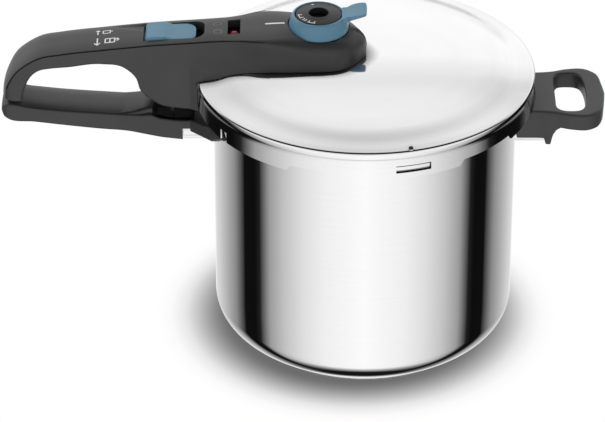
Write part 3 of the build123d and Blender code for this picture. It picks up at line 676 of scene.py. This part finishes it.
HANDLE_HALF = 17.5
HANDLE_GAP = 0.35
plan = smooth([(at(s)[0], w) for s, w in [
    (0, HANDLE_HALF), (15, HANDLE_HALF), (29.3, 18.7), (43, 22.5), (56, 25.2), (74.3, 26.5), (94.3, 26.6),
    (104, 25.3), (111, 21.6), (116.5, 16.2), (121, 9.6), (123.6, 5.4), (125, 2), (125.3, 0)]], 400)
HANDLE_END = at(-139.2)[0]


def handle_half(x):
    """The lid handle's half width: the plan's curve, and a quarter circle at each corner of the outer
    end."""
    wide = np.interp(x, plan[:, 0], plan[:, 1])
    rounding = np.clip(8 - (x - HANDLE_END), 0, 8)
    return wide - (8 - np.sqrt(64 - rounding ** 2)) * 0.9


CROWN = 1.3
station = lines[:, 0] - at(0)[0]
top_edges = np.interp(station, [30, 52, 70, 85], [1.0, 4.0, 10.0, 14.0])
low_edges = np.interp(station, [-16, 0, 30, 80], [3.0, 1.0, 3.0, 3.0])
lid_grip = tube("lid_handle", lines[:, :2], lines[:, 2:], handle_half, crown=CROWN, top_edge=top_edges,
                low_edge=low_edges)


def seam_shade(side):
    """The shade in the joint between the handle and its cover, painted as a thin black strip just below the
    top's edge, on one side."""
    rows = np.flatnonzero((station > -138) & (station < 52))
    top, low = lines[rows, :2], lines[rows, 2:]
    run = (low - top) / np.linalg.norm(low - top, axis=1)[:, None]
    fade = np.interp(top[:, 0] - at(0)[0], [20, 52], [1.0, 0.1])
    high, deep = 0.9 - 0.4 * fade, 0.9 + 0.35 * fade
    corners = [(0.6, high), (-0.03, high), (-0.03, deep), (0.6, deep)]
    loops = []
    for inset, depth in corners:
        place = top + run * np.reshape(depth, (-1, 1))
        loops.append(np.column_stack([place[:, 0], side * (handle_half(place[:, 0]) - inset), place[:, 1]]))
    return skin("seam_shade", np.stack(loops, axis=1) * MM, wrap_columns=True, caps=True)


def lid_cutter():
    """The lid's own shape, a little larger, to fit the handle to the lid."""
    rows = lid_profile(-HANDLE_GAP)
    below = RIM - 25
    return lathe("cutter", np.concatenate([rows, [(rows[-1, 0], below), (0, below)]]), 240)


def bed_cutter(low):
    """The button's bed: straight sides, and a right end with large rounded corners."""
    x = np.concatenate([[at(-36.7)[0]], np.linspace(at(-2)[0], at(7.6)[0], 24)])

    def half(place):
        corner = np.clip(place - at(-0.4)[0], 0, 8)
        return 12.4 - (8 - np.sqrt(64 - corner ** 2))

    return tube("cutter", np.column_stack([x, np.full(25, RIM + 60)]), np.column_stack([x, np.full(25, low)]),
                half, top_edge=0.01, low_edge=0.01)


def recessed(co, depth=1.5):
    """A wedge pressed into the handle's top beside the button: it starts at nothing at its left tip,
    deepens towards the bed, and has a soft edge 1.5 mm wide along its slanted front line and its
    straight back line."""
    x, y, z = co.T / MM
    along = np.clip((x - at(-63)[0]) / 27, 0, 1)
    front = np.clip((y - (13.5 - 10.5 * along)) / 1.5, 0, 1)
    back = np.clip((14.5 - y) / 1.5, 0, 1)
    inside = (z > RIM + 33) & (x > at(-63)[0]) & (x < at(-30)[0])
    co[:, 2] -= np.where(inside, depth * along * front * back, 0) * MM
    return co


def flared(co):
    """The handle's sides spread where it lands on the lid: y grows by a share that rises from nothing near
    the top to its whole below, and that depends on the place along the handle."""
    x, y, z = co.T / MM
    share = np.interp(x - at(0)[0], [-4, 5, 20, 29.3, 43, 56], [0, 0.3, 0.36, 0.28, 0.09, 0])
    low = np.clip((RIM + 34 - z) / 18, 0, 1)
    co[:, 1] *= 1 + share * low ** 2 * (3 - 2 * low)
    return co


reshaped(reshaped(lid_grip, recessed), flared)
cut(lid_grip, lid_cutter(), bed_cutter(RIM + 35),
    box_shape(at(-26)[0], at(21.5)[0], 6.4, RIM + 32.5, RIM + 35.2),
    box_shape(at(-25)[0], at(-14.5)[0], 2.9, RIM - 24, RIM + 35.2),
    cylinder(SELECTOR_X, 0, 22.6, RIM + 42.4, RIM + 60), cylinder(SELECTOR_X, 0, 12.6, RIM + 33, RIM + 60),
    cylinder(SAFETY_X, 0, 9.5, RIM, RIM + 35), cylinder(INDICATOR_X, INDICATOR_Y, 6.6, RIM, RIM + 24),
    cylinder(INDICATOR_X, INDICATOR_Y, 3.9, RIM, RIM + 60),
    box_shape(at(24.3)[0], at(33.5)[0], 10.5, RIM + 37.5, RIM + 60))
finish_piece(lid_grip, "lid", "handle_plastic", phenolic, "lid_handle_body", "lid_handle_cover")
# Black strips along both sides paint the shade in the joint under the cover's edge.
seam_shades = joined("cover_seam_shade", [seam_shade(-1), seam_shade(1)])
finish_piece(seam_shades, "lid", "black_plastic", black_plastic, "lid_handle_cover")

# %% [markdown]
# The pot handle below is the same kind of tube. A flange at its inner end hugs the pot, and a ramp rises to
# meet the lid handle.

# %% Pot handle
pairs = [(-141.6, -17.6, -141.6, -19.6), (-140.6, -14.6, -140.2, -23.2), (-137.5, -12.1, -136, -25.2),
         (-120, -13.9, -118, -27), (-98.7, -16.3, -98.7, -29.5), (-66, -18.8, -68.7, -33),
         (-48, -19.9, -48, -35),
         (-38, -20.3, -38, -37.2), (-30.7, -20.5, -28, -39.4), (-27.5, -22.2, -25.7, -39.9),
         (-20, -23.8, -18, -41),
         (-14, -24.6, -12, -41.7), (-10, -24.8, -9.2, -42)]
lines = smooth([(*at(a, b), *at(c, d)) for a, b, c, d in pairs], 200)
POT_HANDLE_END = at(-141.7)[0]


def pot_handle_half(x):
    """Half width of the pot handle, with a quarter circle at each corner of the outer end."""
    rounding = np.clip(9 - (x - POT_HANDLE_END), 0, 9)
    return 17 - (9 - np.sqrt(81 - rounding ** 2)) * 0.85


def flared_half(x):
    """Half width of the handle's foot: it flares where it meets the pot, into two wings that hug the
    wall."""
    return np.interp(x, [-136, -133.4, -128, -113, -103, -99], [16.6, 16.9, 17, 31, 45, 45])


def foot_low(y):
    """The foot's lower edge: level in the middle, then rising towards the tips of its wings."""
    return RIM - 34.4 + np.clip(np.abs(y) - 31, 0, None) * 0.72


def foot_shape():
    """Rows along x, each a loop: across the rounded top, down, and back under along the rising lower
    edge."""
    x = np.concatenate([np.linspace(-136, -128, 6)[:-1], np.linspace(-128, -98, 60)])[:, None]
    high = RIM - 24.9 + 1.6 * np.clip((x + 128) / 15, 0, 1)
    half = flared_half(x)
    y = np.linspace(-1, 1, 61) * half
    edge = 1.6 * np.clip((np.abs(y) - half + 1.6) / 1.6, 0, 1) ** 2
    back, back_edge = y[:, ::-1], edge[:, ::-1]
    upper = high - edge
    lower = np.minimum(foot_low(back) + 0.6 * back_edge, high - 2.5)
    grid = np.stack([x + 0 * np.hstack([y, back]), np.hstack([y, back]), np.hstack([upper, lower])], axis=-1)
    return skin("pot_handle_foot", grid * MM, wrap_columns=True, caps=True)


handle_bar = tube("pot_handle_bar", lines[:, :2], lines[:, 2:], pot_handle_half, crown=1.2, top_edge=2.0,
                  low_edge=3.0)
handle_foot = foot_shape()
hump = smooth([at(-58, -19.6), at(-52, -19.2), at(-46, -18.4), at(-40.5, -17.2), at(-36.5, -16),
               at(-33.5, -15.6),
               at(-31.2, -15.6)], 50)
hump_low = np.column_stack([hump[:, 0], np.full(50, RIM - 23.5)])


def hump_half(x):
    """The ramp narrows from the handle's full width as it rises."""
    return np.interp(x - at(0)[0], [-58, -46, -31], [16.4, 15.9, 14.2])


handle_hump = tube("pot_handle_ramp", hump, hump_low, hump_half, crown=0.5, top_edge=3.0)
cut(handle_bar, box_shape(at(-16)[0], at(-8)[0], 6.05, RIM - 28.65, RIM - 15),
    box_shape(at(-14)[0], at(20)[0], 11.3, RIM - 33.05, RIM - 31.75),
    cylinder(-136, 0, 4.6, RIM - 60, RIM - 38))
cut(handle_foot, cylinder(0, 0, POT_RADIUS + 0.05, 150, 200, 240),
    box_shape(-137, -90, 17.05, RIM - 60, RIM - 31.75),
    box_shape(at(-16)[0], at(-8)[0], 6.05, RIM - 28.65, RIM - 15))
for piece in (handle_bar, handle_foot, handle_hump):
    finish_piece(piece, "pot", "handle_plastic", phenolic, "pot_handle")

# %% [markdown]
# Between the two handles, where the lock reaches down, lies deep shade, painted with a thin black sheet on
# the pot handle's top.

# %% Painted shade in the lock's gap
gap_shade_line = np.array([at(-31, -20.2), at(-28.6, -21.5), at(-25, -22.6), at(-14, -24.2), at(0.4, -24.6)])
gap_shade_sheet = tube("gap_painted_shade", smooth(gap_shade_line, 40), smooth(gap_shade_line - [0, 1.2], 40), lambda x: 16.2 + 0 * x,
           top_edge=0.3,
           low_edge=0.3)
cut(gap_shade_sheet, box_shape(at(-16)[0], at(-8)[0], 6.2, RIM - 30, RIM - 15))
finish_piece(gap_shade_sheet, "pot", "black_plastic", black_plastic, "pot_handle")

# %% [markdown]
# The helper handle is a closed loop. Its sections run round the finger hole, each from the hole's edge to
# the outer edge, and its underside follows a line that depends on x alone.


# %% Helper handle
def around_centre(outline, centre, angles):
    """The points where rays from the centre meet a closed outline."""
    loop = np.asarray(outline, float) - centre
    loop = np.vstack([loop, loop[:1]])
    fine = np.concatenate([a + np.linspace(0, 1, 40, endpoint=False)[:, None] * (b - a)
                           for a, b in zip(loop[:-1], loop[1:])])
    bearing = np.arctan2(fine[:, 1], fine[:, 0])
    order = np.argsort(bearing)
    reach = np.interp(angles, bearing[order], np.linalg.norm(fine, axis=1)[order], period=2 * np.pi)
    return centre + reach[:, None] * np.stack([np.cos(angles), np.sin(angles)], axis=1)


def rounded(corners, radii, steps=8):
    """A closed polygon with each corner replaced by an arc, drawn as a quadratic curve between its two
    sides."""
    p = np.asarray(corners, float)
    loop = []
    for before, here, after, r in zip(np.roll(p, 1, 0), p, np.roll(p, -1, 0), radii):
        first = here + (before - here) * min(0.49, r / np.linalg.norm(before - here))
        last = here + (after - here) * min(0.49, r / np.linalg.norm(after - here))
        t = np.linspace(0, 1, steps)[:, None]
        loop.append((1 - t) ** 2 * first + 2 * t * (1 - t) * here + t ** 2 * last)
    return np.concatenate(loop)


HELPER_HALF = 35.0
E = LID_RADIUS
side = [(E - 14, -HELPER_HALF + 6), (E + 3, -HELPER_HALF + 5.5), (E + 14, -HELPER_HALF + 4),
        (E + 25, -HELPER_HALF + 0.5), (E + 38, -HELPER_HALF), (E + 46, -HELPER_HALF + 6), (E + 50.2, -12),
        (E + 51.4, 0)]
half_outline = smooth(side, 80)
outline = np.concatenate([half_outline, half_outline[-2::-1] * np.array([1, -1])])
hole = rounded([(E + 15, -22), (E + 20, -27), (E + 34, -27), (E + 37.5, -12), (E + 37.5, 12), (E + 34, 27),
                (E + 20, 27), (E + 15, 22)], [5, 5, 7, 12, 12, 7, 5, 5])
centre = np.array([E + 26, 0.0])
bearings = np.linspace(-np.pi, np.pi, 320, endpoint=False)
outer_loop = around_centre(outline, centre, bearings)
inner_loop = around_centre(hole, centre, bearings)


def helper_under(x):
    """The helper handle's underside: flat by the pot, a lip behind the finger hole, then a thin rounded
    end."""
    s = [-20, 6.5, 7.5, 11, 12.5, 15, 18, 45, 48.5, 51.5]
    h = [-33, -33, -38, -38, -30, -25.5, -23, -23.4, -21.5, -17]
    return RIM + np.interp(x - E, s, h)


def helper_loop():
    """Sections round the hole: over the top, down the outside, back along the underside and up the hole."""
    across = outer_loop - inner_loop
    breadth = np.linalg.norm(across, axis=1)[:, None]
    across = across / breadth
    r = 2.2
    a = np.radians(np.linspace(0, 90, 6))[None, :]
    f = np.linspace(0, 1, 24)[None, 1:-1]
    top = RIM - 10
    over = r + np.linspace(0, 1, 12)[None, 1:-1] * (breadth - 2 * r)
    turn_out = breadth - r + r * np.sin(a)
    offset = np.hstack([r - r * np.cos(a) + 0 * breadth, over, turn_out, turn_out[:, ::-1],
                        breadth - r - f * (breadth - 2 * r), (r - r * np.cos(a))[:, ::-1] + 0 * breadth])
    x = inner_loop[:, :1] + across[:, :1] * offset
    y = inner_loop[:, 1:] + across[:, 1:] * offset
    under = helper_under(x)
    drop_in = top - r + r * np.sin(a) + 0 * breadth
    drop_out = top - r + r * np.cos(a) + 0 * breadth
    counts = np.cumsum([6, 10, 6, 6, 22, 6])
    low_out = under[:, counts[2]:counts[3]] + r - (r * np.cos(a))[:, ::-1]
    low_in = under[:, counts[4]:] + r - (r * np.sin(a))[:, ::-1]
    z = np.hstack([drop_in, top + 0 * over, drop_out, low_out, under[:, counts[3]:counts[4]], low_in])
    return skin("helper_loop", np.stack([x, y, z], axis=-1) * MM, wrap_rows=True, wrap_columns=True)


helper = helper_loop()
cut(helper, lathe("cutter", [(0, 150), (POT_RADIUS, 150), (POT_RADIUS, RIM - 12),
                             (LID_RADIUS + 0.5, RIM - 12),
                             (LID_RADIUS + 0.5, 230), (0, 230)], 240),
    box_shape(100, LID_RADIUS + 7.3, 20.05, RIM - 33.1, RIM - 31.75),
    cylinder(125, 0, 4.6, RIM - 60, RIM - 33))
finish_piece(helper, "pot", "handle_plastic", phenolic, "helper_handle", smooth_angle=40)

# %% [markdown]
# ## Selector, button and valves
# The selector is a lathe-turned dial in a coloured ring with a lever. The button is one more tube.

# %% Selector
DIAL_TOP = RIM + 55
dial_profile = [(7.2, DIAL_TOP - 4), (7.2, DIAL_TOP + 0.6), (7.5, DIAL_TOP + 0.9), (8.1, DIAL_TOP + 0.9),
                (9.2, DIAL_TOP + 0.5), (10.4, DIAL_TOP + 0.1), (16.1, DIAL_TOP - 0.1),
                (16.6, DIAL_TOP - 0.5), (16.6, DIAL_TOP - 3), (17.3, DIAL_TOP - 3.2), (17.3, DIAL_TOP - 8),
                (12, DIAL_TOP - 8), (12, DIAL_TOP - 12.5), (8.06, DIAL_TOP - 12.5), (8.06, DIAL_TOP - 4)]
ring_profile = [(17.5, DIAL_TOP - 12), (21.4, DIAL_TOP - 12), (22, DIAL_TOP - 11.2), (22, DIAL_TOP - 9.5),
                (21.2, DIAL_TOP - 6), (20, DIAL_TOP - 2.4), (19.2, DIAL_TOP - 0.7), (18.4, DIAL_TOP),
                (17.6, DIAL_TOP - 0.2), (17.4, DIAL_TOP - 0.8)]


def shifted(piece, x, y=0.0):
    """The piece moved sideways, in its own vertices, by millimetres."""
    return reshaped(piece, lambda co: co + np.array([x, y, 0]) * MM)


dial = shifted(lathe("selector_dial", dial_profile, 160), SELECTOR_X)
finish_piece(dial, "selector", "dial_plastic", dial_plastic, "selector_disc", smooth_angle=40)
collar = shifted(lathe("selector_collar", ring_profile, 160), SELECTOR_X)
finish_piece(collar, "selector", "blue_plastic", blue_plastic, "selector_ring", smooth_angle=50)

lever_plan = smooth([(16.9, 9.8), (19, 8.8), (21, 8.2), (23, 9.2), (26, 10), (31, 10.1), (33.7, 9.3),
                     (34.8, 6.5), (35, 0)], 120)


def lever_half(x):
    """The lever's half width at its distance from the dial's axis: a neck, then a wider thumb piece."""
    order = np.argsort(lever_plan[:, 0], kind="stable")
    return np.interp(x - SELECTOR_X, lever_plan[order, 0], lever_plan[order, 1])


lever_line = smooth([(16.9, 0, -5), (20, 1, -3.4), (24, 2.4, -1), (30, 3.7, 1.4), (34, 4.2, 2.3),
                     (35, 4.2, 2.5)],
                    60)
lever_top = lever_line[:, :2] + np.array([SELECTOR_X, DIAL_TOP])
lever_low = np.column_stack([lever_top[:, 0], lever_line[:, 2] + DIAL_TOP])
lever = tube("selector_lever", lever_top, lever_low, lever_half, top_edge=0.9, low_edge=0.9)
finish_piece(lever, "selector", "blue_plastic", blue_plastic, "selector_ring")

# %% Button
BUTTON_LEFT, BUTTON_RIGHT = at(-35.2)[0], at(1.3)[0]


def button_half(x):
    """The button's half width: small corners on the left, large ones on the right."""
    left = np.clip(2 - (x - BUTTON_LEFT), 0, 2)
    right = np.clip(7 - (BUTTON_RIGHT - x), 0, 7)
    return 12 - (2 - np.sqrt(4 - left ** 2)) - (7 - np.sqrt(49 - right ** 2))


button_line = straight([(BUTTON_LEFT + 0.02, RIM + 39.6), (BUTTON_LEFT + 1.2, RIM + 41.4),
                        (BUTTON_LEFT + 5, RIM + 41.8), (BUTTON_LEFT + 14, RIM + 42),
                        (BUTTON_LEFT + 19.4, RIM + 40.3),
                        (BUTTON_RIGHT - 7, RIM + 40.6), (BUTTON_RIGHT - 0.02, RIM + 40.1)],
                        [4, 4, 8, 8, 10, 24])
button_low = np.column_stack([button_line[:, 0], np.full(len(button_line), RIM + 35.3)])
button = tube("lock_slider", button_line, button_low, button_half, top_edge=1.1, low_edge=0.3)
finish_piece(button, "lock", "blue_plastic", blue_plastic, "lock_button", smooth_angle=25)

# %% Painted shade in the bed, the window and the bore, and the alignment stud
# A black sheet on the floor of the button's bed paints the shade in that recess.
bed_shade_sheet = box_shape(at(0.2)[0], at(7.3)[0], 12.0, RIM + 35.02, RIM + 35.22, "bed_shade_sheet")
finish_piece(bed_shade_sheet, "lid", "black_plastic", black_plastic, "lid_handle_body")
# A black sheet under the indicator window paints the shade inside it.
window_shade_sheet = box_shape(at(24.4)[0], at(33.4)[0], 10.4, RIM + 37.52, RIM + 37.8, "window_floor_shade")
cut(window_shade_sheet, cylinder(INDICATOR_X, INDICATOR_Y, 3.7, RIM + 37, RIM + 39))
finish_piece(window_shade_sheet, "lid", "black_plastic", black_plastic, "lid_handle_body")
# A black disc in the dial's bore paints the shade down the hole, in place of the valve cap.
bore_shade = shifted(lathe("bore_shade_disc", [(0, 255.7), (6.9, 255.7), (6.9, 256.3), (0, 256.3)], 48), SELECTOR_X)
finish_piece(bore_shade, "lid", "black_plastic", black_plastic, "valve_cap")
pin_rows = np.concatenate([[(0, RIM + 6.8), (3.6, RIM + 6.8), (3.6, RIM + 9.5), (2.5, RIM + 9.5),
                            (2.5, RIM + 38.5),
                            (3.4, RIM + 38.5)], arc((0, RIM + 39.2), 3.5, 14, 90, 10)])
pin = shifted(lathe("indicator", pin_rows, 64), INDICATOR_X, INDICATOR_Y)
finish_piece(pin, "indicator", "red_plastic", red_plastic, "indicator_pin")
stud_turn = np.radians(-75.2)
stud_x, stud_y = (LID_RADIUS - 4.2) * np.cos(stud_turn), (LID_RADIUS - 4.2) * np.sin(stud_turn)
stud_dome = np.concatenate([[(0, 215.2), (1.9, 215.2)], arc((0, 215.4), 1.9, 8, 90, 10)])
stud = shifted(lathe("stud_dome", stud_dome, 48), stud_x, stud_y)
finish_piece(stud, "lid", "black_plastic", dial_plastic, "alignment_stud")
stud_ring = shifted(lathe("stud_collar", [(1.9, 214.6), (2.5, 214.4), (2.5, 215.9), (2.2, 216.2),
                                          (1.9, 216.1)], 48),
                    stud_x, stud_y)
finish_piece(stud_ring, "lid", "lid_steel", mirror_steel, "alignment_stud")

# %% [markdown]
# ## Printed signs
# Each sign is a few strokes. A stroke is a ribbon: its two edges lie half its width to the left and right
# of the line, and every point is dropped on the crowned top of the cover or on the flat dial.


# %% Ribbons
def cover_top(x, y):
    """Height of the cover's crowned top at a place, in millimetres."""
    ridge = np.interp(x, cover_line[:, 0], cover_line[:, 1])
    u = np.abs(y) / np.maximum(handle_half(x) - np.interp(x, cover_line[:, 0], top_edges), 1)
    return ridge + CROWN * (1 - u ** 3)


def ribbon(stroke, width, surface, thickness=0.08):
    """A thin closed band along a line of (x, y) points, laid on a surface."""
    p = np.asarray(stroke, float)
    steps = [max(2, int(np.linalg.norm(b - a) / 0.8)) for a, b in zip(p[:-1], p[1:])]
    p = straight(p, steps)
    run = np.gradient(p, axis=0)
    run = run / np.linalg.norm(run, axis=1)[:, None]
    across = np.stack([-run[:, 1], run[:, 0]], axis=1) * width / 2
    left, right = p + across, p - across
    z_left, z_right = surface(*left.T), surface(*right.T)
    rows = np.stack([np.column_stack([left, z_left - 0.05]), np.column_stack([left, z_left + thickness]),
                     np.column_stack([right, z_right + thickness]),
                     np.column_stack([right, z_right - 0.05])], axis=1)
    return skin("stroke", rows * MM, wrap_columns=True, caps=True)


def sign(name, strokes, width, surface, body, coat, origin=(0.0, 0.0), scale=1.0):
    """A sign from its strokes, moved and scaled, as one piece."""
    made = joined(name, [ribbon(np.asarray(stroke, float) * scale + origin, width,
                                surface) for stroke in strokes])
    made.data.materials.append(coat)
    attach(made, body)
    return made


arrow = [[(0, -4), (0, 4)], [(-1.8, 2), (0, 4), (1.8, 2)]]
pan = [[(-3, 2.4), (-3, -2.4), (3, -2.4), (3, 2.4), (-3, 2.4)], [(3, 1), (5.2, 1)]]
lidded = pan + [[(0, -2.4), (0, 2.4)], [(4.4, 2.2), (5.6, 0.6), (4.4, -1)]]
sign("sign_open", arrow + [[(x + 7.5, y) for x, y in stroke] for stroke in pan], 0.8, cover_top, "lid",
     white_ink,
     (-194.5, 6.0), 0.85)
turned = [[(x, -y) for x, y in stroke] for stroke in arrow]
sign("sign_close", turned + [[(x + 8, y) for x, y in stroke] for stroke in lidded], 0.95, cover_top, "lid",
     white_ink, (-194.5, -7.0), 1.15)
sign("pointer", [[(-72.8, 0), (-58.7, 0)]], 1.8, cover_top, "lid", white_ink)
half_turn_points = [(1.6 * np.cos(a), 1.6 * np.sin(a)) for a in np.linspace(0, np.pi, 9)]
padlock = [[(-2.2, 0), (-2.2, -3.2), (2.2, -3.2), (2.2, 0), (-2.2, 0)], half_turn_points]
sign("sign_locked", padlock, 0.6, cover_top, "lid", grey_ink, (-107, -4.5), 1.25)
sign("sign_unlocked", [padlock[0], [(x + 2.4, y + 0.6) for x, y in half_turn_points]], 0.6, cover_top, "lid",
     grey_ink, (-107.5, 7.5), 1.25)


def dial_top(x, y):
    """The dial's flat top."""
    return DIAL_TOP - 0.04 + 0 * x


def round_dial(strokes, bearing, radius=13.0):
    """Strokes drawn upright, carried to a bearing on the dial with their feet towards its middle."""
    turn = np.radians(bearing)
    outward, along = np.array([np.cos(turn), np.sin(turn)]), np.array([np.sin(turn), -np.cos(turn)])
    return [[(SELECTOR_X, 0) + outward * (radius + y) + along * x for x, y in stroke] for stroke in strokes]


bowl = [[(-2.1, 1.7), (-2.1, -1.8), (2.1, -1.8), (2.1, 1.7)], [(-3, 1.7), (3, 1.7)]]
steam = [[(-1.2, -2), (-0.4, -0.7), (-1.2, 0.7), (-0.4, 2)], [(0.9, -2), (1.7, -0.7), (0.9, 0.7), (1.7, 2)]]
dial_strokes = round_dial(bowl, -112) + round_dial(steam, -137) + round_dial(bowl, -163)
dial_strokes += round_dial([[(-0.9, 0), (0.9, 0)], [(-0.9, 0.5), (0.9, 0.5)]], 108, 14)
sign("dial_signs", dial_strokes, 0.6, dial_top, "selector", white_ink)

# %% [markdown]
# Everything else keeps its CAD mesh and only gets its material.

# %% Materials of the remaining CAD nodes
coats = {mirror_steel: ["lock_keeper"],
         pressed_steel: ["pot_handle_bracket", "helper_bracket", "lid_handle_bracket", "lock_bar",
                         "base_core"],
         turned_steel: ["pot_handle_screw", "helper_handle_screw", "lid_handle_screws", "valve_body",
                        "valve_nut",
                        "valve_spring", "steam_filter", "safety_body", "safety_nut", "safety_spring",
                        "safety_cap", "lock_screw", "valve_needle", "safety_plug"],
         # The keeper's housing is black plastic that fills the gap between the handles, so its black also
         # paints the shade there.
         black_plastic: ["keeper_housing", "lock_shroud"],
         silicone: ["lid_gasket", "valve_seal", "safety_seal", "indicator_seal", "indicator_bush"]}
for coat, names in coats.items():
    for name in names:
        nodes[name].data.materials.clear()
        nodes[name].data.materials.append(coat)
